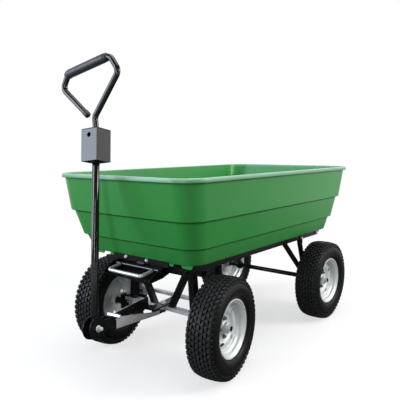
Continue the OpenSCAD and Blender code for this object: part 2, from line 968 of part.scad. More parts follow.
// The block in the tow box that holds the D-handle and takes the tow pin
block_h = 52;
block_d = 36;
module tow_block() {
    color(black)
        translate([-x_mid, 0, 0])
            leaned()
                difference() {
                    translate([-block_d / 2, box_t - box_w / 2, box_top - block_h - 4])
                        cube([block_d, box_w - 2 * box_t, block_h]);
                    translate([-box_w, 0, box_top - tow_pin_drop])
                        rotate([0, 90, 0])
                            cylinder(r = tow_pin_d / 2, h = 2 * box_w);
                }
}

// Points along a path with rounded bends, each with its heading
bend_n = 8;
function bend_points(p, i, bend) =
    let (t = turn_at(p, i), a = heading(p[i - 1], p[i]), s = t > 0 ? 1 : -1, d = trim_at(p, i, bend))
    let (c = [p[i][0] - d * cos(a) - s * bend * sin(a), p[i][1] - d * sin(a) + s * bend * cos(a)])
    [for (k = [0 : bend_n])
        let (h = a + t * k / bend_n)
        [c[0] + s * bend * sin(h), c[1] - s * bend * cos(h), h]];
function path_points(p, bend) = concat(
    [[p[0][0], p[0][1], heading(p[0], p[1])]],
    [for (i = [1 : len(p) - 2]) each bend_points(p, i, bend)],
    [[p[len(p) - 1][0], p[len(p) - 1][1], heading(p[len(p) - 2], p[len(p) - 1])]]);
// A ring of a round rod at a path point
rod_n = 24;
function rod_ring(q, r) = [for (k = [0 : rod_n - 1]) [
    q[0] - r * cos(360 * k / rod_n) * sin(q[2]),
    q[1] + r * cos(360 * k / rod_n) * cos(q[2]),
    r * sin(360 * k / rod_n)]];

// The D-handle: one bent rod with a free end, drawn along the tow box's axis and tilted forward
rod_r = rod_d / 2;
d_tilt = atan2(grip_forward, grip_rise);
d_path = [
    [-2, 0],
    [55, 0],
    [grip_rise + grip_slant - 60, grip_half - 2],
    [grip_rise + grip_slant, grip_half - 36],
    [grip_rise - grip_slant, 12 - grip_half],
    [grip_rise - grip_slant - 50, -grip_half - 20],
    [66, -34]];
d_bend = 26;
module d_handle() {
    color(black)
        translate([-x_mid, 0, 0])
            leaned()
                translate([0, 0, box_top - 6])
                    rotate([0, d_tilt - 90, 0])
                        skin([for (q = path_points(d_path, d_bend)) rod_ring(q, rod_r)]);
}

// Skins a row of levels that closes on itself, as a sleeve does
module ring_skin(levels) {
    n = len(levels[0]);
    m = len(levels);
    points = [for (l = levels) for (p = l) p];
    lower = [for (j = [0 : m - 1]) for (i = [0 : n - 1])
        [j * n + i, (j + 1) % m * n + i, (j + 1) % m * n + (i + 1) % n]];
    upper = [for (j = [0 : m - 1]) for (i = [0 : n - 1])
        [j * n + i, (j + 1) % m * n + (i + 1) % n, j * n + (i + 1) % n]];
    polyhedron(points = points, faces = concat(lower, upper));
}

// The foam sleeve on the D-handle's upper run, bent with the rod at both ends
grip_first = 2 * (bend_n + 1) + 5;
grip_last = 4 * (bend_n + 1);
grip_path = [for (i = [grip_first : grip_last]) path_points(d_path, d_bend)[i]];
module grip() {
    color(rubber)
        translate([-x_mid, 0, 0])
            leaned()
                translate([0, 0, box_top - 6])
                    rotate([0, d_tilt - 90, 0])
                        ring_skin(concat(
                            [for (q = grip_path) rod_ring(q, grip_d / 2)],
                            [for (i = [len(grip_path) - 1 : -1 : 0]) rod_ring(grip_path[i], rod_r + 0.05)]));
}

// A left knuckle: fork on the kingpin, web, spindle and steering arm
web_y = beam_w / 2 + 2;
fork_r = 18;
web_t = 8;
module knuckle() {
    difference() {
        union() {
            for (z = [strap_z, under_z])
                translate([0, 0, z]) {
                    cylinder(r = fork_r, h = plate_t);
                    translate([-fork_r, 0, 0])
                        cube([2 * fork_r, web_y + web_t, plate_t]);
                }
            translate([-24, web_y, axle_z - 26])
                cube([48, web_t, strap_z + plate_t - axle_z + 26]);
            translate([0, web_y + web_t, axle_z])
                rotate([-90, 0, 0]) {
                    cylinder(r = spindle_r + 5, h = wheel_off - hub_half - 0.5 - web_y - web_t);
                    cylinder(r = spindle_r, h = wheel_off + spindle_end - web_y - web_t);
                }
            translate([-arm_len, -13, strap_z])
                cube([arm_len, 26, plate_t]);
            translate([-arm_len, 0, strap_z])
                cylinder(r = 13, h = plate_t);
        }
        translate([0, 0, under_z - 1])
            cylinder(r = king_d / 2 + run, h = strap_z - under_z + plate_t + 2);
        translate([-arm_len, 0, strap_z - 1])
            cylinder(r = pivot_d / 2 + run, h = plate_t + 2);
        translate([-beam_w, -23, beam_z - 0.6])
            cube([2 * beam_w, web_y + 23, beam_h + 1.2]);
    }
}

module knuckle_left() {
    color(black)
        translate([-x_mid, 0, 0])
            at_knuckle_left()
                knuckle();
}

module knuckle_right() {
    color(black)
        translate([-x_mid, 0, 0])
            at_knuckle_right()
                knuckle();
}

// Turns the track rod's pieces: it shifts sideways and stays square to the cart
module at_track_rod() {
    translate([wheelbase - arm_len * cos(steer_rest), -arm_len * sin(steer_rest), 0])
        children();
}

// The zinc track rod with a box at each end over the knuckle's arm
end_box = 68;
module track_rod() {
    color(zinc)
        translate([-x_mid, 0, 0])
            at_track_rod()
                difference() {
                    union() {
                        translate([-10, -king_y, rod_z])
                            cube([20, 2 * king_y, track_rod_h]);
                        for (s = [0, 1])
                            mirror([0, s, 0])
                                translate([0, king_y + 15 - end_box, 0])
                                    difference() {
                                        translate([-18, 0, strap_z - 12])
                                            cube([36, end_box, 12 + rod_z - strap_z + track_rod_h + 3]);
                                        translate([-19, 22, strap_z - 6])
                                            cube([38, end_box, 6 + rod_z - strap_z]);
                                    }
                    }
                    for (y = [-king_y, 0, king_y])
                        translate([0, y, strap_z - 13])
                            cylinder(r = pivot_d / 2 + 0.02, h = 60);
                }
}

// The three pins of the track rod
module track_pins() {
    color(zinc)
        translate([-x_mid, 0, 0])
            at_track_rod() {
                for (y = [-king_y, king_y])
                    translate([0, y, 0]) {
                        translate([0, 0, strap_z - 14])
                            cylinder(r = pivot_d / 2, h = rod_z - strap_z + track_rod_h + 3 + 14);
                        translate([0, 0, rod_z + track_rod_h + 3])
                            bolt_head(7, 4);
                    }
                translate([0, 0, strap_z - gap - 6])
                    cylinder(r = pivot_d / 2, h = rod_z - strap_z + track_rod_h + gap + 6);
                translate([0, 0, rod_z + track_rod_h])
                    bolt_head(7, 5);
                translate([0, 0, strap_z - gap])
                    rotate([180, 0, 0])
                        bolt_head(7, 5);
            }
}

// Half outline of a tyre's outside, from the bead to the crown, as radius and offset
flange_r = rim_flange_d / 2;
seat_r = flange_r - 14;
rim_half = rim_w / 2;
tyre_r = tyre_od / 2;
tyre_half = tyre_w / 2;
wall_h = tyre_r - flange_r;
groove_w = 4.5;
groove_y = [0, 17, 34];
tyre_out = [
    [seat_r + 0.5, rim_half - 20],
    [seat_r + 0.5, rim_half - 9.4],
    [seat_r + 5.5, rim_half - 6.2],
    [flange_r + 1.6, rim_half - 4.8],
    [flange_r + wall_h * 0.14, rim_half + 5],
    [flange_r + wall_h * 0.28, tyre_half - 2.6],
    [flange_r + wall_h * 0.42, tyre_half],
    [flange_r + wall_h * 0.58, tyre_half - 1],
    [flange_r + wall_h * 0.74, tyre_half - 4],
    [flange_r + wall_h * 0.88, tyre_half - 9],
    [tyre_r - 4.5, tyre_half - 15],
    [tyre_r - 2.2, tyre_half - 24],
    [tyre_r - 0.5, tyre_half - 42],
    [tyre_r, 7]];
tyre_in = [
    [tyre_r - 16, 7],
    [tyre_r - 19, tyre_half - 30],
    [flange_r + wall_h * 0.7, tyre_half - 13],
    [flange_r + wall_h * 0.4, tyre_half - 8],
    [flange_r + wall_h * 0.15, rim_half - 4],
    [flange_r - 3, rim_half - 14]];
function flip(p) = [for (i = [len(p) - 1 : -1 : 0]) [p[i][0], -p[i][1]]];

// A zigzag band across the tread, one for each pitch
zig = 6;
cut_w = 5.5;
zig_line = [[-46, -zig], [-34, zig], [-17, -zig], [0, zig], [17, -zig], [34, zig], [46, -zig]];
zig_band = concat(
    [for (p = zig_line) [p[0], p[1] - cut_w / 2]],
    [for (i = [len(zig_line) - 1 : -1 : 0]) [zig_line[i][0], zig_line[i][1] + cut_w / 2]]);

// A tyre about the Z axis with block tread and shoulder lugs
module tyre() {
    difference() {
        rotate_extrude()
            polygon(concat(tyre_out, flip(tyre_out), flip(tyre_in), tyre_in));
        for (y = groove_y)
            for (s = y == 0 ? [1] : [-1, 1])
                translate([0, 0, s * y - groove_w / 2])
                    difference() {
                        cylinder(r = tyre_r + 5, h = groove_w);
                        translate([0, 0, -1])
                            cylinder(r = tyre_r - tread_depth, h = groove_w + 2);
                    }
        for (i = [0 : tread_n - 1])
            rotate([0, 0, i * 360 / tread_n])
                translate([tyre_r - tread_depth, 0, 0])
                    rotate([0, 90, 0])
                        linear_extrude(tread_depth + 5)
                            polygon(zig_band);
        for (i = [0 : tread_n - 1])
            for (s = [-1, 1])
                rotate([0, 0, (i + 0.5) * 360 / tread_n])
                    translate([tyre_r - 22, -3, s > 0 ? tyre_half - 16 : -tyre_half - 6])
                        cube([30, 6, 22]);
    }
}

// A rim about the Z axis, its open face to positive Z: flanges, well, dished disc with holes and hub
sheet = 3;
well_r = flange_r - 25.5;
rim_path = [
    [flange_r, rim_half],
    [flange_r, rim_half - 3.5],
    [seat_r + 5, rim_half - 4.8],
    [seat_r - 0.4, rim_half - 8],
    [seat_r - 1, rim_half - 22],
    [well_r, 18]];
rim_back = [
    [well_r - sheet, 20.5],
    [seat_r - 1 - sheet, rim_half - 20],
    [seat_r - sheet, rim_half - 6],
    [seat_r + 2, rim_half - 1.6],
    [flange_r - 6, rim_half]];
disc_path = [
    [well_r - 1, 12],
    [62, 12],
    [52, 4],
    [20, 4],
    [20, 0],
    [54, 0],
    [64, 8],
    [well_r - 1, 8]];
hub_r = 21;
bearing_r = 16;
valve_r = 4;
module rim() {
    difference() {
        union() {
            rotate_extrude()
                polygon(concat(rim_path, flip(rim_path), flip(rim_back), rim_back));
            rotate_extrude()
                polygon(disc_path);
            translate([0, 0, -hub_half])
                cylinder(r = hub_r, h = hub_len);
            for (a = [45 : 90 : 315])
                rotate([0, 0, a])
                    translate([36, 0, 3])
                        cylinder(r = 8, h = 7, $fn = 6);
        }
        translate([0, 0, -hub_half - 1])
            cylinder(r = bearing_r, h = hub_len + 2);
        for (a = [0 : 90 : 270])
            rotate([0, 0, a])
                translate([75, 0, 0])
                    cylinder(r = 8.5, h = 20);
    }
}

// The two bearings of a wheel
bearing_len = 14;
module bearings() {
    for (z = [-hub_half, hub_half - bearing_len])
        translate([0, 0, z])
            difference() {
                cylinder(r = bearing_r - 0.02, h = bearing_len);
                translate([0, 0, -1])
                    cylinder(r = spindle_r + run, h = bearing_len + 2);
            }
}

// A tyre valve standing out of the rim's well
module valve() {
    translate([well_r - sheet - 0.01, 0, 16])
        rotate([0, -60, 0]) {
            translate([0, 0, 0])
                cylinder(r = valve_r, h = 14);
            translate([0, 0, 14])
                cylinder(r = 3, h = 12);
        }
}

// A spindle nut at a wheel's outer face
module nut() {
    translate([0, 0, hub_half + 0.6])
        difference() {
            union() {
                cylinder(r = spindle_r + 6, h = 2);
                cylinder(r = spindle_r + 5, h = 11, $fn = 6);
            }
            translate([0, 0, -1])
                cylinder(r = spindle_r + 0.02, h = 14);
        }
}

// Stands a wheel's pieces upright, the open face outward, in its four places
module stand() {
    rotate([-90, 0, 0])
        children();
}

module at_fl() {
    translate([-x_mid, 0, 0])
        at_knuckle_left()
            translate([0, wheel_off, axle_z])
                stand()
                    rotate([0, 0, 42])
                        children();
}

module at_fr() {
    translate([-x_mid, 0, 0])
        at_knuckle_right()
            translate([0, wheel_off, axle_z])
                stand()
                    rotate([0, 0, 14])
                        children();
}

module at_rl() {
    translate([-x_mid, wheel_y, axle_z])
        stand()
            rotate([0, 0, -60])
                children();
}

module at_rr() {
    translate([-x_mid, 0, 0])
        mirror([0, 1, 0])
            translate([0, wheel_y, axle_z])
                stand()
                    rotate([0, 0, 30])
                        children();
}

module tyre_fl() {
    color(rubber)
        at_fl()
            tyre();
}

module tyre_fr() {
    color(rubber)
        at_fr()
            tyre();
}

module tyre_rl() {
    color(rubber)
        at_rl()
            tyre();
}

module tyre_rr() {
    color(rubber)
        at_rr()
            tyre();
}

module rim_fl() {
    color(zinc)
        at_fl()
            rim();
}

module rim_fr() {
    color(zinc)
        at_fr()
            rim();
}

module rim_rl() {
    color(zinc)
        at_rl()
            rim();
}

module rim_rr() {
    color(zinc)
        at_rr()
            rim();
}

module bearings_fl() {
    color(black)
        at_fl()
            bearings();
}

module bearings_fr() {
    color(black)
        at_fr()
            bearings();
}

module bearings_rl() {
    color(black)
        at_rl()
            bearings();
}

module bearings_rr() {
    color(black)
        at_rr()
            bearings();
}

module valve_fl() {
    color(rubber)
        at_fl()
            valve();
}

module valve_fr() {
    color(rubber)
        at_fr()
            valve();
}

module valve_rl() {
    color(rubber)
        at_rl()
            valve();
}

module valve_rr() {
    color(rubber)
        at_rr()
            valve();
}

module nut_fl() {
    color(zinc)
        at_fl()
            nut();
}

module nut_fr() {
    color(zinc)
        at_fr()
            nut();
}

// The two nuts on the rear axle
module nuts_rear() {
    color(zinc) {
        at_rl()
            nut();
        at_rr()
            nut();
    }
}

tub();
tub_rail_left();
tub_rail_right();
latch_plate();
latch_bolts();
rail_left();
rail_right();
hinge_bolts();
front_crossmember();
bolster();
rear_crossmember();
rear_leg_left();
rear_leg_right();
rear_axle();
front_leg_left();
front_leg_right();
front_brace_left();
front_brace_right();
front_beam();
king_bolt();
kingpins();
latch_bracket();
release_bar();
frame_bolts();
drawbar();
draw_stay();
stop_bolt();
clevis();
pivot_bolt();
pole();
tow_box();
tow_block();
d_handle();
grip();
knuckle_left();
knuckle_right();
track_rod();
track_pins();
tyre_fl();
tyre_fr();
tyre_rl();
tyre_rr();
rim_fl();
rim_fr();
rim_rl();
rim_rr();
bearings_fl();
bearings_fr();
bearings_rl();
bearings_rr();
valve_fl();
valve_fr();
valve_rl();
valve_rr();
nut_fl();
nut_fr();
nuts_rear();
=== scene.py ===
import json
import math

import bmesh
import bpy
from mathutils import Matrix, Vector


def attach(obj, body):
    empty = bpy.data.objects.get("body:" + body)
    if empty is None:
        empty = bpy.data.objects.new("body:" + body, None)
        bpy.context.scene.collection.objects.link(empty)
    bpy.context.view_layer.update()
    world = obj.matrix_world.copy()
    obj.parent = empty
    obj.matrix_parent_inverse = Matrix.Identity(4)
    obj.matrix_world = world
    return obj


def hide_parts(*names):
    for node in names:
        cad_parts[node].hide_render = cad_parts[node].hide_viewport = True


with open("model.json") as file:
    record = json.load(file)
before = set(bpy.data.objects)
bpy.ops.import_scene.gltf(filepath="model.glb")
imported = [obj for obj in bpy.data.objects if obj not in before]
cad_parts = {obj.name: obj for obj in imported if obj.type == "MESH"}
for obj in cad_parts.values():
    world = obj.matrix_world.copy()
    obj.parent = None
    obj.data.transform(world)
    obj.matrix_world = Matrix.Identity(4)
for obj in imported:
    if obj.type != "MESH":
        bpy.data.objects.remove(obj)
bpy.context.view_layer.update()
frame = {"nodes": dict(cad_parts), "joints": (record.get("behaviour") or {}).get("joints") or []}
nodes = frame["nodes"]
joints = {j["name"]: j for j in frame["joints"]}


# The studio: a pale floor that runs out into white, large soft panels to both
# sides and overhead, and a camera at eye level off the cart's front left corner.
scene = bpy.context.scene
scene.view_settings.view_transform = "Standard"

camera_at = Vector((1.77795, 1.37528, 0.89032))
camera_yaw, camera_pitch, camera_roll = 38.751, 6.110, -0.2615
camera = bpy.data.objects.new("camera", bpy.data.cameras.new("camera"))
scene.collection.objects.link(camera)
camera.data.sensor_width = 36
camera.data.lens = 43.68
yaw, pitch = math.radians(camera_yaw), math.radians(camera_pitch)
ahead = Vector((-math.cos(yaw) * math.cos(pitch), -math.sin(yaw) * math.cos(pitch),
                -math.sin(pitch)))
across = ahead.cross(Vector((0, 0, 1))).normalized()
upward = across.cross(ahead)
facing = Matrix((across, upward, -ahead)).transposed()
facing = facing @ Matrix.Rotation(math.radians(camera_roll), 3, "Z")
camera.matrix_world = Matrix.Translation(camera_at) @ facing.to_4x4()
scene.camera = camera

floor_reach = 30
floor_mesh = bmesh.new()
bmesh.ops.create_grid(floor_mesh, x_segments=1, y_segments=1, size=floor_reach)
floor = bpy.data.objects.new("floor", bpy.data.meshes.new("floor"))
floor_mesh.to_mesh(floor.data)
floor_mesh.free()
scene.collection.objects.link(floor)


def shade(tree, kind, values=None, **settings):
    """A shader node with its settings; a value that is a socket is linked."""
    node = tree.nodes.new(kind)
    for key, value in settings.items():
        setattr(node, key, value)
    for socket, value in (values or {}).items():
        if isinstance(value, bpy.types.NodeSocket):
            tree.links.new(value, node.inputs[socket])
        else:
            node.inputs[socket].default_value = value
    return node


def maths(tree, operation, first, second):
    """The result of a maths node on two values."""
    return shade(tree, "ShaderNodeMath", {0: first, 1: second}, operation=operation).outputs[0]


def scaled(tree, fac, low, high, source=(0.0, 1.0)):
    """A value spread from one range to another."""
    return shade(tree, "ShaderNodeMapRange", {
        0: fac, "From Min": source[0], "From Max": source[1],
        "To Min": low, "To Max": high}).outputs[0]


def mixed(tree, mask, first, second):
    """The second colour over the first by a mask."""
    return shade(tree, "ShaderNodeMix", {0: mask, 6: first, 7: second},
                 data_type="RGBA").outputs[2]


# the floor fades into white with distance, for the camera sooner than for reflections
floor_paint = bpy.data.materials.new("studio_floor")
floor_paint.use_nodes = True
tree = floor_paint.node_tree
tree.nodes.clear()
spot = shade(tree, "ShaderNodeTexCoord").outputs["Object"]
distance = shade(tree, "ShaderNodeVectorMath", {0: spot}, operation="LENGTH").outputs["Value"]
near = scaled(tree, distance, 0.62, 1.0, (0.7, 1.9))
far = scaled(tree, distance, 0.0, 1.0, (1.4, 4.0))
path = shade(tree, "ShaderNodeLightPath").outputs
direct = maths(tree, "MULTIPLY", path["Is Camera Ray"], near)
bounced = maths(tree, "MAXIMUM", path["Is Glossy Ray"], path["Is Transmission Ray"])
away = maths(tree, "MAXIMUM", direct, maths(tree, "MULTIPLY", bounced, far))
grey = mixed(tree, path["Is Camera Ray"], (0.14, 0.14, 0.14, 1), (0.94, 0.94, 0.94, 1))
matt = shade(tree, "ShaderNodeBsdfDiffuse", {"Color": grey})
white = shade(tree, "ShaderNodeEmission", {"Color": (1, 1, 1, 1), "Strength": 1.0})
both = shade(tree, "ShaderNodeMixShader", {0: away, 1: matt.outputs[0], 2: white.outputs[0]})
shade(tree, "ShaderNodeOutputMaterial", {"Surface": both.outputs[0]})
floor.data.materials.append(floor_paint)

world = bpy.data.worlds.new("studio")
scene.world = world
world.use_nodes = True
tree = world.node_tree
tree.nodes.clear()
path = shade(tree, "ShaderNodeLightPath").outputs
seen = maths(tree, "MAXIMUM", path["Is Camera Ray"], path["Is Glossy Ray"])
seen = maths(tree, "MAXIMUM", seen, path["Is Transmission Ray"])
dim = shade(tree, "ShaderNodeBackground", {"Color": (1, 1, 1, 1), "Strength": 0.30})
# the backdrop is white; a reflection of the camera's side of the room is darker
toward = shade(tree, "ShaderNodeTexCoord").outputs["Generated"]
behind = shade(tree, "ShaderNodeVectorMath", {0: toward, 1: tuple(ahead)},
               operation="DOT_PRODUCT").outputs["Value"]
room = scaled(tree, behind, 0.12, 1.0, (-0.05, 0.65))
level = maths(tree, "MAXIMUM", path["Is Camera Ray"], room)
bright = shade(tree, "ShaderNodeBackground", {"Color": (1, 1, 1, 1), "Strength": level})
both = shade(tree, "ShaderNodeMixShader", {0: seen, 1: dim.outputs[0], 2: bright.outputs[0]})
shade(tree, "ShaderNodeOutputWorld", {"Surface": both.outputs[0]})


def soft_panel(name, place, aim, width, height, watts, colour=(1, 1, 1)):
    """A studio light panel aimed at a point."""
    lamp = bpy.data.lights.new(name, "AREA")
    lamp.shape = "RECTANGLE"
    lamp.size = width
    lamp.size_y = height
    lamp.energy = watts
    lamp.color = colour
    panel = bpy.data.objects.new(name, lamp)
    scene.collection.objects.link(panel)
    panel.location = place
    panel.rotation_euler = (Vector(aim) - Vector(place)).to_track_quat("-Z", "Y").to_euler()


soft_panel("front_panel", (3.5, -2.2, 1.85), (0.4, 0, 0.6), 2.6, 2.4, 158, (0.83, 0.92, 1.07))
soft_panel("tall_panel", (3.44, 1.70, 1.35), (0.7, 0.05, 0.7), 0.20, 1.8, 36)
soft_panel("side_panel", (-1.9, 3.6, 2.3), (0, 0.2, 0.5), 1.5, 1.8, 150)
soft_panel("back_panel", (-3.4, 2.6, 1.5), (0.4, 0, 0.7), 1.3, 1.4, 8)
soft_panel("top_panel", (0.3, 0.3, 3.6), (0, 0, 0.5), 2.0, 2.0, 70)


# The frame is folded and welded steel under black powder coat, dull on the frame and
# glossier on the handle, with chips where edges rub and dust on upper faces.
def shader_group(name, inputs, outputs):
    """An empty shader node group with named sockets."""
    group = bpy.data.node_groups.new(name, "ShaderNodeTree")
    for label, kind, value in inputs:
        socket = group.interface.new_socket(label, in_out="INPUT", socket_type=kind)
        if value is not None:
            socket.default_value = value
    for label, kind in outputs:
        group.interface.new_socket(label, in_out="OUTPUT", socket_type=kind)
    enter = group.nodes.new("NodeGroupInput").outputs
    leave = group.nodes.new("NodeGroupOutput").inputs
    return group, enter, leave


def noise_of(tree, spot, scale, detail=4.0, rough=0.5):
    """A noise value at that many grains a metre."""
    return shade(tree, "ShaderNodeTexNoise", {
        "Vector": spot, "Scale": scale, "Detail": detail, "Roughness": rough}).outputs["Fac"]


VECTOR, VALUE = "NodeSocketVector", "NodeSocketFloat"

edge_wear, enter, leave = shader_group(
    "edge_wear",
    (("Vector", VECTOR, None), ("Width", VALUE, 0.0015), ("Grain", VALUE, 90.0),
     ("Amount", VALUE, 0.5)),
    (("Mask", VALUE),))
rounded = shade(edge_wear, "ShaderNodeBevel", {"Radius": enter["Width"]}, samples=8)
surface = shade(edge_wear, "ShaderNodeNewGeometry")
bend = shade(edge_wear, "ShaderNodeVectorMath", {
    0: rounded.outputs[0], 1: surface.outputs["Normal"]}, operation="DOT_PRODUCT")
sharp = scaled(edge_wear, bend.outputs["Value"], 0.0, 1.0, (0.95, 0.78))
grain = noise_of(edge_wear, enter["Vector"], enter["Grain"])
worn = maths(edge_wear, "MULTIPLY", sharp, scaled(edge_wear, grain, 0.0, 1.0, (0.5, 0.62)))
worn = maths(edge_wear, "MULTIPLY", worn, enter["Amount"])
edge_wear.links.new(worn, leave["Mask"])

settled_dust, enter, leave = shader_group(
    "settled_dust",
    (("Vector", VECTOR, None), ("Patch", VALUE, 9.0), ("Amount", VALUE, 0.3)),
    (("Mask", VALUE),))
surface = shade(settled_dust, "ShaderNodeTexCoord")
axes = shade(settled_dust, "ShaderNodeSeparateXYZ", {0: surface.outputs["Normal"]})
level = scaled(settled_dust, axes.outputs["Z"], 0.0, 1.0, (0.2, 1.0))
patch = noise_of(settled_dust, enter["Vector"], enter["Patch"], 6.0, 0.65)
dusty = maths(settled_dust, "MULTIPLY", level, scaled(settled_dust, patch, 0.0, 1.0, (0.35, 0.75)))
dusty = maths(settled_dust, "MULTIPLY", dusty, enter["Amount"])
settled_dust.links.new(dusty, leave["Mask"])

scuffs, enter, leave = shader_group(
    "scuffs",
    (("Vector", VECTOR, None), ("Scale", VALUE, 14.0), ("Amount", VALUE, 0.5)),
    (("Mask", VALUE),))
drawn = shade(scuffs, "ShaderNodeMapping", {
    "Vector": enter["Vector"], "Scale": (1.0, 0.16, 4.0), "Rotation": (0.3, 0.5, 0.2)})
scratch = noise_of(scuffs, drawn.outputs[0], enter["Scale"], 5.0, 0.7)
scratch = scaled(scuffs, scratch, 0.0, 1.0, (0.6, 0.72))
zone = noise_of(scuffs, enter["Vector"], 3.0, 2.0)
rubbed = maths(scuffs, "MULTIPLY", scratch, scaled(scuffs, zone, 0.0, 1.0, (0.4, 0.65)))
rubbed = maths(scuffs, "MULTIPLY", rubbed, enter["Amount"])
scuffs.links.new(rubbed, leave["Mask"])


def group_out(tree, group, values):
    """The output of a node group set in a material with its own values."""
    return shade(tree, "ShaderNodeGroup", values, node_tree=group).outputs[0]


def new_finish(name):
    """A material with an empty tree, its Principled shader and its object coordinates."""
    finish = bpy.data.materials.new(name)
    finish.use_nodes = True
    tree = finish.node_tree
    tree.nodes.clear()
    skin = tree.nodes.new("ShaderNodeBsdfPrincipled")
    shade(tree, "ShaderNodeOutputMaterial", {"Surface": skin.outputs[0]})
    spot = tree.nodes.new("ShaderNodeTexCoord").outputs["Object"]
    return finish, tree, skin, spot


def bumped(tree, skin, height, strength, depth):
    """Gives a finish a fine relief."""
    relief = {"Height": height, "Strength": strength, "Distance": depth}
    tree.links.new(shade(tree, "ShaderNodeBump", relief).outputs[0], skin.inputs["Normal"])


def black_coat(name, shine, smoothest, roughest):
    """Black powder coat: slight mottle and orange peel, chipped edges, a film of dust."""
    material, tree, skin, spot = new_finish(name)
    mottle = noise_of(tree, spot, 22.0, 5.0)
    colour = mixed(tree, mottle, (0.0035, 0.0036, 0.0040, 1), (0.0055, 0.0056, 0.0062, 1))
    chips = group_out(tree, edge_wear, {
        "Vector": spot, "Width": 0.0010, "Grain": 160.0, "Amount": 0.25})
    colour = mixed(tree, chips, colour, (0.16, 0.155, 0.15, 1))
    film = group_out(tree, settled_dust, {"Vector": spot, "Patch": 14.0, "Amount": 0.05})
    colour = mixed(tree, film, colour, (0.18, 0.17, 0.155, 1))
    tree.links.new(colour, skin.inputs["Base Color"])
    rough = scaled(tree, mottle, smoothest, roughest, (0.3, 0.7))
    tree.links.new(rough, skin.inputs["Roughness"])
    bumped(tree, skin, noise_of(tree, spot, 420.0, 2.0), 0.008, 0.0003)
    skin.inputs["Specular IOR Level"].default_value = shine
    return material


black_paint = black_coat("black_paint", 0.42, 0.08, 0.14)
dull_black = black_coat("dull_black", 0.14, 0.22, 0.32)


def eased(piece, width, segments=2, angle=35):
    """Rounds a piece's edges and keeps its flats flat in the shading."""
    soft = piece.modifiers.new("eased_edges", "BEVEL")
    soft.width = width
    soft.segments = segments
    soft.limit_method = "ANGLE"
    soft.angle_limit = math.radians(angle)
    soft.harden_normals = True


def dress(material, *names, bevel=0.0006, segments=2):
    """Gives CAD nodes a finish and takes the sharpness off their edges."""
    for name in names:
        part = nodes[name]
        if not part.material_slots:
            part.data.materials.append(material)
        for slot in part.material_slots:
            slot.material = material
        if not bevel:
            continue
        joined = part.modifiers.new("joined", "WELD")
        joined.merge_threshold = 0.00002
        plain = part.modifiers.new("plain_faces", "DECIMATE")
        plain.decimate_type = "DISSOLVE"
        plain.angle_limit = math.radians(1.0)
        eased(part, bevel, segments)


dress(dull_black, "rail_left", "rail_right", bevel=0.0012)
dress(dull_black, "front_crossmember", "bolster", "rear_crossmember", "rear_leg_left",
      "rear_leg_right", "front_leg_left", "front_leg_right", "front_brace_left",
      "front_brace_right", "latch_bracket", "tub_rail_left", "tub_rail_right", "latch_plate")


# The front beam, pins and bolts are plain steel, zinc plated in a barrel, so they are
# bright with faint cloudy streaks. The rear axle is coated black with the frame.
zinc, tree, skin, spot = new_finish("zinc")
zinc_pale = (0.74, 0.745, 0.755, 1)
zinc_shine = 0.62
cloud = noise_of(tree, spot, 26.0, 6.0, 0.6)
plate_colour = mixed(tree, cloud, (0.56, 0.57, 0.59, 1), zinc_pale)
marks = group_out(tree, scuffs, {"Vector": spot, "Scale": 40.0, "Amount": 0.5})
plate_colour = mixed(tree, marks, plate_colour, (0.40, 0.40, 0.41, 1))
film = group_out(tree, settled_dust, {"Vector": spot, "Patch": 20.0, "Amount": 0.2})
plate_colour = mixed(tree, film, plate_colour, (0.33, 0.32, 0.29, 1))
tree.links.new(plate_colour, skin.inputs["Base Color"])
skin.inputs["Metallic"].default_value = zinc_shine
tree.links.new(scaled(tree, cloud, 0.28, 0.44, (0.3, 0.7)), skin.inputs["Roughness"])
bumped(tree, skin, cloud, 0.05, 0.0004)

small_bevel = 0.0005
dress(zinc, "front_beam", "king_bolt", "kingpins", "hinge_bolts", "frame_bolts", "nuts_rear",
      bevel=small_bevel)
dress(dull_black, "rear_axle")


# The tub is one moulding of green polypropylene with a fine matt grain: three
# tiers that widen upwards over two narrow ledges, a rolled lip and a front skirt.
green_plastic, tree, skin, spot = new_finish("green_plastic")
cloud = noise_of(tree, spot, 5.0, 3.0)
tub_colour = mixed(tree, cloud, (0.023, 0.200, 0.035, 1), (0.029, 0.228, 0.044, 1))
marks = group_out(tree, scuffs, {"Vector": spot, "Scale": 16.0, "Amount": 0.15})
tub_colour = mixed(tree, marks, tub_colour, (0.11, 0.32, 0.13, 1))
rubbed_edge = group_out(tree, edge_wear, {
    "Vector": spot, "Width": 0.003, "Grain": 60.0, "Amount": 0.3})
tub_colour = mixed(tree, rubbed_edge, tub_colour, (0.10, 0.31, 0.12, 1))
wall_normal = shade(tree, "ShaderNodeTexCoord").outputs["Normal"]
facing_way = shade(tree, "ShaderNodeSeparateXYZ", {0: wall_normal})
height_on_tub = shade(tree, "ShaderNodeSeparateXYZ", {0: spot}).outputs["Z"]
floor_zone, lip_zone, ledge_lines = (0.485, 0.500), (0.774, 0.789), (0.5296, 0.6346, 0.7740)
# painted shade: faces that look downwards above the tub's floor, the undersides of the ledges and
# the lip, turn dark green
above_floor = scaled(tree, height_on_tub, 0.0, 1.0, floor_zone)
painted_underside_shade = scaled(tree, facing_way.outputs["Z"], 0.0, 0.8, (-0.45, -0.85))
painted_underside_shade = maths(tree, "MULTIPLY", painted_underside_shade, above_floor)
tub_colour = mixed(tree, painted_underside_shade, tub_colour, (0.004, 0.030, 0.007, 1))
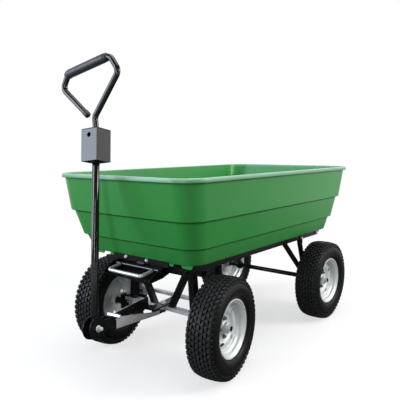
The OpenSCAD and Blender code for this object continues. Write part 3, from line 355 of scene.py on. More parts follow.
# painted shade: a dark line on the wall just below each ledge and below the lip, where their
# overhang casts its shadow
level_spot = shade(tree, "ShaderNodeVectorMath", {0: spot, 1: (1.0, 1.0, 0.0)},
                   operation="MULTIPLY").outputs[0]
outward_wall = shade(tree, "ShaderNodeVectorMath", {0: wall_normal, 1: level_spot},
                     operation="DOT_PRODUCT").outputs["Value"]
outside = scaled(tree, outward_wall, 0.0, 1.0, (0.0, 0.05))
shadow_below_ledge, shadow_above_ledge = 0.0065, 0.0008
for ledge in ledge_lines:
    below = scaled(tree, height_on_tub, 0.0, 0.85, (ledge - shadow_below_ledge, ledge))
    under = scaled(tree, height_on_tub, 1.0, 0.0, (ledge, ledge + shadow_above_ledge))
    line = maths(tree, "MULTIPLY", maths(tree, "MULTIPLY", below, under), outside)
    tub_colour = mixed(tree, line, tub_colour, (0.005, 0.040, 0.009, 1))
# painted highlight: the lip is paler on top and on its outer face, for the sheen that it catches
facing_up = scaled(tree, facing_way.outputs["Z"], 0.0, 1.0, (0.15, 0.45))
on_lip = scaled(tree, height_on_tub, 0.0, 0.95, lip_zone)
painted_lip_sheen = maths(tree, "MULTIPLY", maths(tree, "MAXIMUM", facing_up, outside), on_lip)
tub_colour = mixed(tree, painted_lip_sheen, tub_colour, (0.27, 0.43, 0.35, 1))
film = group_out(tree, settled_dust, {"Vector": spot, "Patch": 11.0, "Amount": 0.06})
tub_colour = mixed(tree, film, tub_colour, (0.30, 0.31, 0.24, 1))
tree.links.new(tub_colour, skin.inputs["Base Color"])
tree.links.new(scaled(tree, cloud, 0.27, 0.35, (0.3, 0.7)), skin.inputs["Roughness"])
skin.inputs["Specular IOR Level"].default_value = 0.28
bumped(tree, skin, noise_of(tree, spot, 850.0, 2.0), 0.12, 0.0003)


def new_piece(name, mesh, material, body, replaces=(), crease=34):
    """Makes an object of a finished mesh, which then rides on a body of the cart."""
    for face in mesh.faces:
        face.smooth = True
    for edge in mesh.edges:
        edge.smooth = edge.calc_face_angle(0) < math.radians(crease)
    data = bpy.data.meshes.new(name)
    mesh.to_mesh(data)
    mesh.free()
    data.materials.append(material)
    piece = bpy.data.objects.new(name, data)
    scene.collection.objects.link(piece)
    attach(piece, body)
    if replaces:
        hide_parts(*replaces)
    return piece


def bevelled(mesh, geom, offset, segments, affect="EDGES"):
    """Bevels some edges or points of a mesh and gives back what that made."""
    return bmesh.ops.bevel(mesh, geom=geom, offset=offset, offset_type="OFFSET", affect=affect,
                           segments=segments, profile=0.5, material=-1)


def join(mesh, other):
    """Adds a second mesh to the first and frees it."""
    carrier = bpy.data.meshes.new("carrier")
    other.to_mesh(carrier)
    other.free()
    mesh.from_mesh(carrier)
    bpy.data.meshes.remove(carrier)


axle_x = -0.5730935
tub_floor = 0.4634
tub_wall = 0.005
# front, rear, half width and corner radius of each outline, from the bottom edge to the lip
tub_edges = [(1.040, -0.084, 0.302, 0.068)]
for front, rear, half, radius in (
        (0.026, 0.015, 0.014, 0.006), (0.011, 0.011, 0.011, 0.002),
        (0.033, 0.024, 0.018, 0.006), (0.011, 0.011, 0.011, 0.002),
        (0.025, 0.044, 0.009, 0.006), (0.011, 0.011, 0.011, 0.011)):
    last = tub_edges[-1]
    tub_edges.append((last[0] + front, last[1] - rear, last[2] + half, last[3] + radius))


def tub_outline(mesh, height, edge, drawn_in):
    """A level of the tub: four corner points, rounded by a vertex bevel."""
    front, rear, half, radius = tub_edges[edge]
    front, rear, half = front - drawn_in, rear + drawn_in, half - drawn_in
    corners = [mesh.verts.new((x + axle_x, y, height))
               for x, y in ((front, half), (rear, half), (rear, -half), (front, -half))]
    sides = [mesh.edges.new((corners[i], corners[(i + 1) % 4])) for i in range(4)]
    before = set(mesh.edges) - set(sides)
    bevelled(mesh, corners, radius - drawn_in, 14, "VERTICES")
    return [e for e in mesh.edges if e not in before]


# height, outline and how far it is drawn in: up the outside, over the lip, down the inside
low, ledge_1, mid, ledge_2, top = 0.4714, 0.5284, 0.5324, 0.6334, 0.6374
lip, rim = 0.7734, 0.7904
tub_levels = [
    (tub_floor, 0, 0.010), (tub_floor + 0.0008, 0, 0.006), (tub_floor + 0.0028, 0, 0.0028),
    (low, 0, 0), (ledge_1, 1, 0), (mid, 2, 0), (ledge_2, 3, 0), (top, 4, 0),
    (rim - tub_wall, 5, 0), (rim - tub_wall, 6, tub_wall), (lip, 6, tub_wall), (lip, 6, 0),
    (rim - 0.006, 6, 0), (rim - 0.0022, 6, 0.0012), (rim - 0.0004, 6, 0.0036), (rim, 6, 0.007),
    (rim - 0.0003, 5, 0.002), (rim - 0.0012, 5, 0.0042), (rim - 0.004, 5, tub_wall),
    (top + tub_wall, 4, tub_wall), (ledge_2 + tub_wall, 3, tub_wall),
    (mid + tub_wall, 2, tub_wall), (ledge_1 + tub_wall, 1, tub_wall),
    (low + tub_wall, 0, tub_wall), (tub_floor + tub_wall + 0.003, 0, tub_wall + 0.004),
    (tub_floor + tub_wall, 0, tub_wall + 0.012)]
shell = bmesh.new()
outlines = [tub_outline(shell, *each) for each in tub_levels]
for below, above in zip(outlines, outlines[1:]):
    bmesh.ops.bridge_loops(shell, edges=below + above)
for end in (outlines[0], outlines[-1]):
    bmesh.ops.contextual_create(shell, geom=end)
bmesh.ops.recalc_face_normals(shell, faces=shell.faces)

# the skirt under the front with its two notches
skirt_front, skirt_half, skirt_low = 1.020 + axle_x, 0.275, tub_floor - 0.017
skirt_top, skirt_slope = tub_floor + 0.003, 0.012
notch_mid, notch_half, notch_slope, notch_top = 0.198, 0.023, 0.005, tub_floor - 0.006
skirt_line = [(skirt_half, skirt_top), (skirt_half - skirt_slope, skirt_low)]
for middle in (notch_mid, -notch_mid):
    skirt_line += [(middle + notch_half, skirt_low), (middle + notch_half - notch_slope, notch_top),
                   (middle - notch_half + notch_slope, notch_top), (middle - notch_half, skirt_low)]
skirt_line += [(skirt_slope - skirt_half, skirt_low), (-skirt_half, skirt_top)]
skirt = bmesh.new()
back_face = skirt.faces.new(
    [skirt.verts.new((skirt_front - tub_wall, y, z)) for y, z in skirt_line])
pushed = bmesh.ops.extrude_face_region(skirt, geom=[back_face])["geom"]
bmesh.ops.translate(skirt, vec=(tub_wall, 0, 0),
                    verts=[v for v in pushed if isinstance(v, bmesh.types.BMVert)])
bmesh.ops.recalc_face_normals(skirt, faces=skirt.faces)
join(shell, skirt)
tub_shell = new_piece("tub_shell", shell, green_plastic, "tub", ("tub",))
eased(tub_shell, 0.0016, segments=3, angle=22)


def spun(mesh, outline, steps, closed=True):
    """Turns an outline of radius and height round the upright axis."""
    points = [mesh.verts.new((r, 0, z)) for r, z in outline]
    count = len(points) if closed else len(points) - 1
    lines = [mesh.edges.new((points[i], points[(i + 1) % len(points)])) for i in range(count)]
    bmesh.ops.spin(mesh, geom=points + lines, cent=(0, 0, 0), axis=(0, 0, 1), angle=math.tau,
                   steps=steps, use_merge=True)


# six round-headed bolts with washers hold the tub's floor down on its two rails
bolt_gap, same_spot = 0.0001, 0.00001
bolts = bmesh.new()
for along in (0.06, 0.46, 0.86):
    for across_tub in (0.204, -0.204):
        bolt = bmesh.new()
        spun(bolt, [(0.0, 0.0052), (0.0040, 0.0049), (0.0072, 0.0036), (0.0092, 0.0016),
                    (0.0092, 0.0004), (0.0, 0.0004)], 20, closed=False)
        spun(bolt, [(0.0094, 0.0012), (0.0135, 0.0012), (0.0140, 0.0006), (0.0140, 0.0),
                    (0.0094, 0.0)], 20)
        bmesh.ops.remove_doubles(bolt, verts=bolt.verts, dist=same_spot)
        bmesh.ops.recalc_face_normals(bolt, faces=bolt.faces)
        bmesh.ops.translate(bolt, verts=bolt.verts, vec=(
            along + axle_x, across_tub, tub_floor + tub_wall + bolt_gap))
        join(bolts, bolt)
new_piece("tub_floor_bolts", bolts, zinc, "tub")


# The tipping latch: a bent zinc rod is pulled up by hand and lifts its catch out
# of the black plate that is bolted to the tub's skirt.
dress(zinc, "latch_bolts", bevel=small_bevel)

# the bar's zinc ends where it meets the rod that it turns on, which is painted black
bar_steel, tree, skin, spot = new_finish("bar_steel")
along_cart = shade(tree, "ShaderNodeSeparateXYZ", {0: spot}).outputs["X"]
plated = scaled(tree, along_cart, 0.0, 1.0, (0.4725, 0.4745))
cloud = noise_of(tree, spot, 26.0, 6.0, 0.6)
bar_colour = mixed(tree, cloud, (0.58, 0.59, 0.61, 1), zinc_pale)
bar_colour = mixed(tree, plated, (0.0050, 0.0051, 0.0056, 1), bar_colour)
tree.links.new(bar_colour, skin.inputs["Base Color"])
tree.links.new(scaled(tree, plated, 0.0, zinc_shine), skin.inputs["Metallic"])
tree.links.new(scaled(tree, plated, 0.14, 0.34), skin.inputs["Roughness"])
dress(bar_steel, "release_bar", bevel=0)


# The steering gear: a black drawbar turns on the king bolt, its tail pushes the zinc
# track rod, and that turns both knuckles by their arms.
dress(dull_black, "drawbar", "clevis", "knuckle_left", "knuckle_right")
dress(zinc, "draw_stay", "stop_bolt", "track_rod", "track_pins", "pivot_bolt", "nut_fl", "nut_fr",
      bevel=small_bevel)


def swept(name, points, radii, sides, place, closed=False):
    """A round bar along points, with its radius at each, as a mesh put in its place."""
    curve = bpy.data.curves.new(name, "CURVE")
    curve.dimensions = "3D"
    curve.bevel_depth = 1.0
    curve.bevel_resolution = sides
    curve.use_fill_caps = True
    line = curve.splines.new("POLY")
    line.use_cyclic_u = closed
    line.points.add(len(points) - 1)
    for point, spot, radius in zip(line.points, points, radii):
        point.co = (*spot, 1)
        point.radius = radius
    holder = bpy.data.objects.new(name, curve)
    mesh = bmesh.new()
    mesh.from_mesh(holder.to_mesh())
    bmesh.ops.remove_doubles(mesh, verts=mesh.verts, dist=same_spot)
    bmesh.ops.recalc_face_normals(mesh, faces=mesh.faces)
    bmesh.ops.transform(mesh, matrix=place, verts=mesh.verts)
    bpy.data.objects.remove(holder)
    bpy.data.curves.remove(curve)
    return mesh


def weld(name, points, radius, body, place, closed=False):
    """A bead of weld with the ripple of its run, painted over with the part."""
    radii = [radius * (1 + 0.16 * math.sin(1.9 * k) + 0.08 * math.sin(0.7 * k))
             for k in range(len(points))]
    bead = swept(name, points, radii, 3, place, closed)
    return new_piece(name, bead, black_paint, body, crease=70)


# the arm and the stay are welded to the nose plate, down both outer corners
photo_turn = math.radians(8)
king_x = joints["steer"]["pos_m"][0]
drawbar_at = Matrix.Translation((king_x, 0, 0)) @ Matrix.Rotation(photo_turn, 4, "Z")
nose_x, seam_low, seam_step = 0.3298, 0.2392, 0.0016
for side_name, across_nose in (("left", 0.0218), ("right", -0.0218)):
    seam = [(nose_x, across_nose, seam_low + seam_step * k) for k in range(21)]
    weld("nose_weld_" + side_name, seam, 0.0024, "drawbar", drawbar_at)


# The wheels: a pneumatic tyre of black rubber with rows of staggered tread blocks,
# on a galvanised rim of pressed and welded sheet that turns on two ball bearings.
tyre_rubber, tree, skin, spot = new_finish("tyre_rubber")
tone = noise_of(tree, spot, 30.0, 5.0)
rubber_colour = mixed(tree, tone, (0.0190, 0.0196, 0.0202, 1), (0.0320, 0.0328, 0.0336, 1))
# painted light: the faces that look sideways, the sidewalls, are much darker than the tread;
# painted shade on the sidewalls, and the lighter tread stands in part for its highlights
wheel_normal = shade(tree, "ShaderNodeTexCoord").outputs["Normal"]
facing_way = shade(tree, "ShaderNodeSeparateXYZ", {0: wheel_normal})
sideways = shade(tree, "ShaderNodeMath", {0: facing_way.outputs["Y"]}, operation="ABSOLUTE")
shaded_sidewall = scaled(tree, sideways.outputs[0], 0.0, 1.0, (0.55, 0.80))
rubber_colour = mixed(tree, shaded_sidewall, rubber_colour, (0.0030, 0.0032, 0.0034, 1))
# the edges of the tread blocks are lighter: partly scuffed rubber, partly a painted highlight
scrub_and_highlight = group_out(tree, edge_wear, {
    "Vector": spot, "Width": 0.0016, "Grain": 140.0, "Amount": 0.5})
rubber_colour = mixed(tree, scrub_and_highlight, rubber_colour, (0.120, 0.125, 0.128, 1))
film = group_out(tree, settled_dust, {"Vector": spot, "Patch": 24.0, "Amount": 0.06})
rubber_colour = mixed(tree, film, rubber_colour, (0.14, 0.135, 0.125, 1))
tree.links.new(rubber_colour, skin.inputs["Base Color"])
tree.links.new(scaled(tree, tone, 0.36, 0.50, (0.3, 0.7)), skin.inputs["Roughness"])
skin.inputs["Specular IOR Level"].default_value = 0.13
bumped(tree, skin, noise_of(tree, spot, 700.0, 3.0), 0.15, 0.0004)

galvanised, tree, skin, spot = new_finish("galvanised")
spangle = shade(tree, "ShaderNodeTexVoronoi", {"Vector": spot, "Scale": 110.0}, feature="F1")
patch = noise_of(tree, spot, 18.0, 5.0)
plate_colour = mixed(tree, spangle.outputs["Color"],
                     (0.61, 0.640, 0.635, 1), (0.68, 0.710, 0.705, 1))
darker = scaled(tree, patch, 0.0, 0.5, (0.45, 0.75))
plate_colour = mixed(tree, darker, plate_colour, (0.56, 0.585, 0.58, 1))
grime = group_out(tree, settled_dust, {"Vector": spot, "Patch": 30.0, "Amount": 0.12})
plate_colour = mixed(tree, grime, plate_colour, (0.34, 0.33, 0.30, 1))
tree.links.new(plate_colour, skin.inputs["Base Color"])
skin.inputs["Metallic"].default_value = 0.55
tree.links.new(scaled(tree, spangle.outputs["Distance"], 0.48, 0.58), skin.inputs["Roughness"])
bumped(tree, skin, patch, 0.08, 0.0006)


def round_trip(over, back):
    """A half outline carried across to the other side, and home along its inner face."""
    return (over + [(r, -z) for r, z in reversed(over)]
            + [(r, -z) for r, z in reversed(back)] + back)


def turn_by(mesh, points, angle, axis="Z"):
    """Turns points of a mesh about an axis through its origin."""
    bmesh.ops.rotate(mesh, cent=(0, 0, 0), matrix=Matrix.Rotation(angle, 3, axis), verts=points)


broken_edge = 0.0011


def broken_edges(mesh, made, axis, segments):
    """Breaks the edges round the far face of a new block and gives back all its points."""
    edges = dict.fromkeys(e for v in made for e in v.link_edges)
    far = [e for e in edges if all(v.co[axis] > 0 for v in e.verts)]
    cut = bevelled(mesh, far, broken_edge, segments)
    points = [v for f in cut["faces"] for v in f.verts] + [v for v in made if v.is_valid]
    return list(dict.fromkeys(points))


tyre_radius, tread_deep, tread_sink, tread_clear = 0.200, 0.0080, 0.004, 0.0003
top_share = 0.86


def tread_block(mesh, at, width, length, skew, rise, tilt):
    """One rubber block: a base square drawn in to a smaller top, its edge broken."""
    made = bmesh.ops.create_cube(mesh, size=1)["verts"]
    bmesh.ops.scale(mesh, vec=(rise + tread_sink, length, width), verts=made)
    bmesh.ops.translate(mesh, vec=((rise - tread_sink) / 2, 0, 0), verts=made)
    for v in made:
        if v.co.x > 0:
            v.co.y *= top_share
            v.co.z *= top_share
        v.co.y += v.co.z * skew
    block = broken_edges(mesh, made, 0, 1)
    turn_by(mesh, block, tilt, "Y")
    bmesh.ops.translate(mesh, vec=at, verts=block)
    return block


def tyre_body():
    """Carcass with sidewall ribs, then one pitch of blocks carried round it."""
    mesh = bmesh.new()
    outside = [(0.102, 0.0265), (0.102, 0.0371), (0.107, 0.0403), (0.1171, 0.0417),
               (0.1195, 0.0445), (0.1225, 0.0490), (0.1265, 0.0530), (0.1310, 0.0553),
               (0.1330, 0.0559), (0.1338, 0.0574), (0.1352, 0.0575), (0.1362, 0.0566),
               (0.1420, 0.0586), (0.1500, 0.0594), (0.1560, 0.0593), (0.1566, 0.0600),
               (0.1584, 0.0600), (0.1590, 0.0590), (0.1660, 0.0574), (0.1735, 0.0546),
               (0.1805, 0.0506), (0.1856, 0.0455), (0.1886, 0.0390), (0.1906, 0.0300),
               (0.1917, 0.0150), (0.1922, 0.0040)]
    inside = [(0.184, 0.004), (0.181, 0.0305), (0.1746, 0.0475), (0.149, 0.0525),
              (0.128, 0.0425), (0.1125, 0.0325)]
    spun(mesh, round_trip(outside, inside), 90)
    bmesh.ops.recalc_face_normals(mesh, faces=mesh.faces)
    pitches = 54
    step = math.tau / pitches
    far_shift, shoulder, shoulder_rise = 0.25, 0.048, 0.0040
    # offset from the middle, width, length, skew, share of a pitch, base radius, tilt
    rows = ((0.0, 0.0138, 0.0172, 0.45, 0.0, 0.1922, 0.0),
            (0.0158, 0.0128, 0.0172, -0.45, 0.5, 0.1917, 0.02),
            (0.0302, 0.0122, 0.0168, 0.45, 0.0, 0.1905, 0.07),
            (0.0436, 0.0128, 0.0162, -0.25, 0.5, 0.1876, 0.22),
            (0.0500, 0.0135, 0.0125, 0.0, 0.0, 0.1806, 0.74))
    for z, width, length, skew, turn, base, tilt in rows:
        rise = shoulder_rise
        if z < shoulder:
            rise = min(tread_deep, tyre_radius - base - tread_clear)
        for side in ((1, -1) if z else (1,)):
            shift = step * (turn + (far_shift if side < 0 else 0.0))
            block = tread_block(mesh, (base, 0, side * z), width, length, skew * side, rise,
                                -tilt * side)
            turn_by(mesh, block, shift)
            edges = list(dict.fromkeys(e for v in block for e in v.link_edges))
            faces = list(dict.fromkeys(f for v in block for f in v.link_faces))
            bmesh.ops.spin(mesh, geom=block + edges + faces, cent=(0, 0, 0), axis=(0, 0, 1),
                           angle=math.tau * (pitches - 1) / pitches, steps=pitches - 1,
                           use_duplicate=True)
    return mesh


def peg(mesh, sides, lower, upper, length):
    """A capped peg with that many sides, tapered where its radii differ."""
    return bmesh.ops.create_cone(mesh, cap_ends=True, segments=sides, radius1=lower,
                                 radius2=upper, depth=length)["verts"]


def holes_in_disc(mesh):
    """Cuts the four round holes of the disc with a boolean and gives the mesh back."""
    hole_circle, hole_radius, pin_long, pin_mid = 0.0745, 0.0085, 0.05, 0.010
    pins = bmesh.new()
    for turn in range(4):
        pin = peg(pins, 28, hole_radius, hole_radius, pin_long)
        bmesh.ops.translate(pins, vec=(hole_circle, 0, pin_mid), verts=pin)
        turn_by(pins, pin, turn * math.pi / 2)
    parts = []
    for name, source in (("disc", mesh), ("pins", pins)):
        data = bpy.data.meshes.new(name)
        source.to_mesh(data)
        source.free()
        part = bpy.data.objects.new(name, data)
        scene.collection.objects.link(part)
        parts.append(part)
    cut = parts[0].modifiers.new("holes", "BOOLEAN")
    cut.object, cut.operation, cut.solver = parts[1], "DIFFERENCE", "EXACT"
    bpy.context.view_layer.update()
    done = parts[0].evaluated_get(bpy.context.evaluated_depsgraph_get())
    result = bmesh.new()
    result.from_mesh(done.to_mesh())
    for part in parts:
        bpy.data.objects.remove(part)
    return result


def rim_body():
    """Dished disc with four round holes, in a barrel with rolled flanges."""
    steps = 96
    disc = bmesh.new()
    spun(disc, [(0.0888, 0.0165), (0.0850, 0.0138), (0.0780, 0.0124), (0.0660, 0.0120),
                (0.0605, 0.0108), (0.0545, 0.0060), (0.0505, 0.0044), (0.0440, 0.0040),
                (0.0205, 0.0040), (0.0205, 0.0008), (0.0450, 0.0008), (0.0520, 0.0014),
                (0.0570, 0.0036), (0.0620, 0.0078), (0.0670, 0.0088), (0.0780, 0.0092),
                (0.0855, 0.0104), (0.0888, 0.0130)], steps)
    bmesh.ops.recalc_face_normals(disc, faces=disc.faces)
    mesh = holes_in_disc(disc)
    outer = [(0.1133, 0.0417), (0.1152, 0.0425), (0.1160, 0.0443), (0.1153, 0.0462),
             (0.1135, 0.0469), (0.1112, 0.0466), (0.1090, 0.0452), (0.1065, 0.0425),
             (0.1040, 0.0404), (0.1010, 0.0392), (0.0988, 0.0372), (0.0980, 0.0345),
             (0.0976, 0.0270), (0.0950, 0.0246), (0.0905, 0.0222), (0.0880, 0.0195),
             (0.0872, 0.0150), (0.0870, 0.0060)]
    under = [(0.0898, 0.0060), (0.0900, 0.0170), (0.0925, 0.0200), (0.0968, 0.0224),
             (0.0996, 0.0250), (0.1004, 0.0285), (0.1006, 0.0340), (0.1012, 0.0360),
             (0.1035, 0.0372), (0.1062, 0.0388), (0.1085, 0.0405), (0.1110, 0.0414)]
    spun(mesh, round_trip(outer, under), steps)
    bmesh.ops.recalc_face_normals(mesh, faces=mesh.faces)
    return mesh


def hub_body():
    """Hub tube and the weld round it."""
    mesh = bmesh.new()
    spun(mesh, [(0.0160, 0.0250), (0.0200, 0.0250), (0.0210, 0.0242), (0.0210, -0.0242),
                (0.0200, -0.0250), (0.0160, -0.0250)], 48)
    spun(mesh, [(0.0205, 0.0095), (0.0222, 0.0088), (0.0240, 0.0070), (0.0252, 0.0048),
                (0.0252, 0.0036), (0.0205, 0.0036)], 48)
    bmesh.ops.recalc_face_normals(mesh, faces=mesh.faces)
    return mesh


def hub_bolts():
    """Four hub bolts with washers, rounded heads and stud ends."""
    bolt_circle, seat, head_turn = 0.036, 0.0045, 0.4
    head_radius, head_high, head_mid, stud_mid = 0.0078, 0.0060, 0.0046, 0.0092
    mesh = bmesh.new()
    for turn in range(4):
        head = peg(mesh, 6, head_radius, head_radius, head_high)
        head = broken_edges(mesh, head, 2, 2)
        bmesh.ops.translate(mesh, vec=(0, 0, head_mid), verts=head)
        washer = peg(mesh, 20, 0.0095, 0.0092, 0.0018)
        stud = peg(mesh, 16, 0.0042, 0.0036, 0.0050)
        bmesh.ops.translate(mesh, vec=(0, 0, stud_mid), verts=stud)
        turn_by(mesh, head, turn * head_turn)
        bolt = head + washer + stud
        bmesh.ops.translate(mesh, vec=(bolt_circle, 0, seat), verts=bolt)
        turn_by(mesh, bolt, math.radians(45 + 90 * turn))
    bmesh.ops.recalc_face_normals(mesh, faces=mesh.faces)
    return mesh


def valve_body():
    """A rubber valve stem with its flared foot, collar and cap, leaning out of the rim."""
    mesh = bmesh.new()
    spun(mesh, [(0.0, -0.002), (0.0062, -0.002), (0.0060, 0.0005), (0.0046, 0.0030),
                (0.0042, 0.0110), (0.0048, 0.0125), (0.0048, 0.0150), (0.0042, 0.0160),
                (0.0042, 0.0240), (0.0036, 0.0256), (0.0, 0.0260)], 20, closed=False)
    bmesh.ops.remove_doubles(mesh, verts=mesh.verts, dist=same_spot)
    bmesh.ops.recalc_face_normals(mesh, faces=mesh.faces)
    foot, lean = (0.0869, 0, 0.016), math.radians(-60)
    place = Matrix.Translation(foot) @ Matrix.Rotation(lean, 4, "Y")
    bmesh.ops.transform(mesh, matrix=place, verts=mesh.verts)
    return mesh


valve_rubber, tree, skin, spot = new_finish("valve_rubber")
tone = noise_of(tree, spot, 120.0, 4.0)
valve_colour = mixed(tree, tone, (0.009, 0.009, 0.009, 1), (0.020, 0.020, 0.021, 1))
tree.links.new(valve_colour, skin.inputs["Base Color"])
tree.links.new(scaled(tree, tone, 0.38, 0.55, (0.3, 0.7)), skin.inputs["Roughness"])

bearing_steel, tree, skin, spot = new_finish("bearing_steel")
tone = noise_of(tree, spot, 260.0, 3.0)
steel_colour = mixed(tree, tone, (0.14, 0.14, 0.145, 1), (0.24, 0.24, 0.245, 1))
tree.links.new(steel_colour, skin.inputs["Base Color"])
tree.links.new(scaled(tree, tone, 0.22, 0.36, (0.3, 0.7)), skin.inputs["Roughness"])
skin.inputs["Metallic"].default_value = 1.0

# each wheel is the same five pieces, rolled to a stop of its own
patterns = (
    (tyre_body(), "tyre_rubber_", tyre_rubber, "tyre_rubber", "tyre_"),
    (rim_body(), "rim_sheet_", galvanised, "galvanised", "rim_"),
    (hub_body(), "hub_", galvanised, "galvanised", None),
    (hub_bolts(), "hub_bolts_", bearing_steel, "bearing_steel", None),
    (valve_body(), "valve_stem_", valve_rubber, "valve_rubber", "valve_"))
for corner, rolled in (("fl", 42), ("fr", 14), ("rl", -60), ("rr", 30)):
    spin = joints["wheel_" + corner + "_spin"]
    axle = Vector(spin["axis"])
    outward = axle * (1 if corner.endswith("l") else -1)
    along = axle.cross(Vector((0, 0, 1)))
    turned = Matrix((along, Vector((0, 0, -1)), outward)).transposed().to_4x4()
    place = Matrix.Translation(spin["pos_m"]) @ turned
    place = place @ Matrix.Rotation(math.radians(rolled), 4, "Z")
    for pattern, name, finish, slot, stands_for in patterns:
        mesh = pattern.copy()
        bmesh.ops.transform(mesh, matrix=place, verts=mesh.verts)
        if corner.endswith("r"):
            bmesh.ops.reverse_faces(mesh, faces=mesh.faces)
        replaced = (stands_for + corner,) if stands_for else ()
        new_piece(name + corner, mesh, finish, "wheel_" + corner, replaced)
    dress(bearing_steel, "bearings_" + corner)
for pattern in patterns:
    pattern[0].free()


# The handle: a black tube with a square sheet-steel tow box on top, out of which a
# bent rod comes back on itself in a D, with a foam sleeve and a plastic end plug.
dress(black_paint, "pole", "tow_block", bevel=0.0008)
dress(black_paint, "tow_box", bevel=0.0040, segments=4)
fold = joints["handle_fold"]
side = Vector(fold["axis"])
ahead_of_pole = Vector(joints["clevis_swivel"]["axis"])
pole_lean = math.radians(-9.4)
lean = Matrix.Rotation(pole_lean, 3, side)
rise = lean @ ahead_of_pole.cross(side)
handle_at = Matrix((lean @ ahead_of_pole, side, rise)).transposed().to_4x4()
handle_at = Matrix.Translation(fold["pos_m"]) @ handle_at
# from the pivot up the pole to the middle of the rod's lower end, tilted forward
rod_foot, d_forward, d_high = 0.698, 0.030, 0.244
d_tilt = math.atan2(d_forward, d_high)
rod_at = handle_at @ Matrix.Translation((0, 0, rod_foot))
rod_at = rod_at @ Matrix.Rotation(d_tilt - math.pi / 2, 4, "Y")
d_corners = [(-0.002, 0), (0.055, 0), (0.198, 0.126), (0.258, 0.092), (0.230, -0.116),
             (0.180, -0.148), (0.066, -0.034)]
d_bend, rod_radius = 0.026, 0.0112


def rod_path():
    """The D's corner points with each bend rounded by a vertex bevel, in order."""
    mesh = bmesh.new()
    corners = [mesh.verts.new((x, y, 0)) for x, y in d_corners]
    for a, b in zip(corners, corners[1:]):
        mesh.edges.new((a, b))
    for before, at, after in zip(d_corners, d_corners[1:], d_corners[2:]):
        turn = (Vector(at) - Vector(before)).angle(Vector(after) - Vector(at))
        here = min(mesh.verts, key=lambda v: (v.co.xy - Vector(at)).length)
        bevelled(mesh, [here], d_bend * math.tan(turn / 2), 8, "VERTICES")
    start = min(mesh.verts, key=lambda v: (v.co.xy - Vector(d_corners[0])).length)
    points, edge = [start.co.copy()], None
    while True:
        onward = [e for e in start.link_edges if e is not edge]
        if not onward:
            break
        edge = onward[0]
        start = edge.other_vert(start)
        points.append(start.co.copy())
    mesh.free()
    return points


d_points = rod_path()
d_rod = swept("d_rod", d_points, [rod_radius] * len(d_points), 10, rod_at)
new_piece("d_rod", d_rod, black_paint, "handle", ("d_handle",))

foam, tree, skin, spot = new_finish("foam")
cells = shade(tree, "ShaderNodeTexVoronoi", {"Vector": spot, "Scale": 900.0}, feature="F1")
tone = noise_of(tree, spot, 45.0, 5.0)
foam_colour = mixed(tree, tone, (0.010, 0.0115, 0.014, 1), (0.016, 0.018, 0.021, 1))
# the bluish film on upward faces is partly dust and partly a painted sheen on the foam's upper side
film = group_out(tree, settled_dust, {"Vector": spot, "Patch": 60.0, "Amount": 0.12})
foam_colour = mixed(tree, film, foam_colour, (0.08, 0.085, 0.095, 1))
tree.links.new(foam_colour, skin.inputs["Base Color"])
tree.links.new(scaled(tree, tone, 0.42, 0.52, (0.3, 0.7)), skin.inputs["Roughness"])
skin.inputs["Sheen Weight"].default_value = 0.08
bumped(tree, skin, cells.outputs["Distance"], 0.10, 0.0004)


def along_rod(points, start, end, steps):
    """Evenly spaced points of a path between two lengths along it."""
    spans = [(b - a).length for a, b in zip(points, points[1:])]
    places = []
    for k in range(steps + 1):
        want = start + (end - start) * k / steps
        for a, b, span in zip(points, points[1:], spans):
            if want <= span or b is points[-1]:
                places.append(a.lerp(b, want / span))
                break
            want -= span
    return places


# the foam sleeve covers the D's outer side and runs on round the bend after it
outer_side = 0.2
grip_mid = 0.0
for a, b in zip(d_points, d_points[1:]):
    if a.y > 0 > b.y and a.x > outer_side:
        grip_mid += (b - a).length * a.y / (a.y - b.y)
        break
    grip_mid += (b - a).length
grip_radius, grip_before, grip_after = 0.0166, 0.077, 0.126
grip_line = along_rod(d_points, grip_mid - grip_before, grip_mid + grip_after, 60)
end_share, end_points = 0.76, 3.0
grip_radii = []
for k in range(len(grip_line)):
    from_end = min(k, len(grip_line) - 1 - k) / end_points
    swell = end_share + (1 - end_share) * math.sqrt(min(1.0, from_end))
    grip_radii.append(grip_radius * swell)
sleeve = swept("foam_sleeve", grip_line, grip_radii, 12, rod_at)
sleeve = new_piece("foam_sleeve", sleeve, foam, "handle", ("grip",), crease=60)

# the plug on the rod's free end
plug_end = d_points[-1]
plug_way = (d_points[-1] - d_points[-2]).normalized()
plug_stops = (-0.018, -0.0175, -0.004, 0.0, 0.0025, 0.0045, 0.0055)
plug_radii = (0.0113, 0.0122, 0.0123, 0.0122, 0.0112, 0.0075, 0.0030)
plug = swept("rod_plug", [plug_end + plug_way * t for t in plug_stops], plug_radii, 8, rod_at)
new_piece("rod_plug", plug, valve_rubber, "handle", crease=60)

# a collar of the same rubber shuts the foam's upper end
collar_line = [grip_line[1].lerp(grip_line[0], t) for t in (0.2, 1.0, 1.6)]
collar = swept("grip_collar", collar_line, (0.0158, 0.0158, 0.0146), 8, rod_at)
new_piece("grip_collar", collar, valve_rubber, "handle", crease=60)

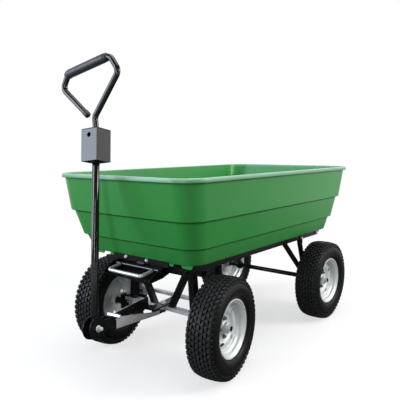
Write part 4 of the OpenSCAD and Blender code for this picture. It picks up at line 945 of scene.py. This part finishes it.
# welds: the tube under the tow box and the rod's foot on top of it
ring_points = 40
for weld_name, height, radius, bead in (
        ("pole_weld", 0.5872, 0.0146, 0.0028), ("rod_weld", 0.7048, 0.0122, 0.0026)):
    turns = [math.tau * k / ring_points for k in range(ring_points)]
    ring = [(radius * math.cos(turn), radius * math.sin(turn), height) for turn in turns]
    weld(weld_name, ring, bead, "handle", handle_at, True)

# a thin lid shuts the tow box and stands a little proud of its sides
lid_wide, lid_thick, lid_corner, lid_height = 0.0756, 0.0030, 0.004, 0.7045
lid = bmesh.new()
bmesh.ops.create_cube(lid, size=1)
bmesh.ops.scale(lid, vec=(lid_wide, lid_wide, lid_thick), verts=lid.verts)
upright = [e for e in lid.edges if abs(e.verts[0].co.z - e.verts[1].co.z) > lid_thick / 2]
bevelled(lid, upright, lid_corner, 3)
lid_at = handle_at @ Matrix.Translation((0, 0, lid_height))
bmesh.ops.transform(lid, matrix=lid_at, verts=lid.verts)
new_piece("box_lid", lid, dull_black, "handle")

# the pivot bolt's washers and its threaded end past the nut
thread_start, thread_end, thread_pitch = 0.0272, 0.0364, 0.0016
bolt_fittings = bmesh.new()
for inner, outer in ((0.0190, 0.0205), (-0.0205, -0.0190)):
    spun(bolt_fittings, [(0.0061, inner), (0.0120, inner), (0.0124, (inner + outer) / 2),
                         (0.0120, outer), (0.0061, outer)], 32)
ridges = [(0.0056, thread_start)]
for k in range(5):
    ridges += [(0.0061, 0.0280 + thread_pitch * k), (0.0064, 0.0288 + thread_pitch * k)]
ridges += [(0.0061, 0.0361), (0.0052, thread_end), (0.0, thread_end), (0.0, thread_start)]
spun(bolt_fittings, ridges, 24)
bmesh.ops.remove_doubles(bolt_fittings, verts=bolt_fittings.verts, dist=same_spot)
bmesh.ops.recalc_face_normals(bolt_fittings, faces=bolt_fittings.faces)
leftward = side if side.y > 0 else -side
bolt_at = Matrix((ahead_of_pole, leftward.cross(ahead_of_pole), leftward)).transposed().to_4x4()
bolt_at = Matrix.Translation(fold["pos_m"]) @ bolt_at
bmesh.ops.transform(bolt_fittings, matrix=bolt_at, verts=bolt_fittings.verts)
new_piece("pivot_fittings", bolt_fittings, zinc, "clevis")
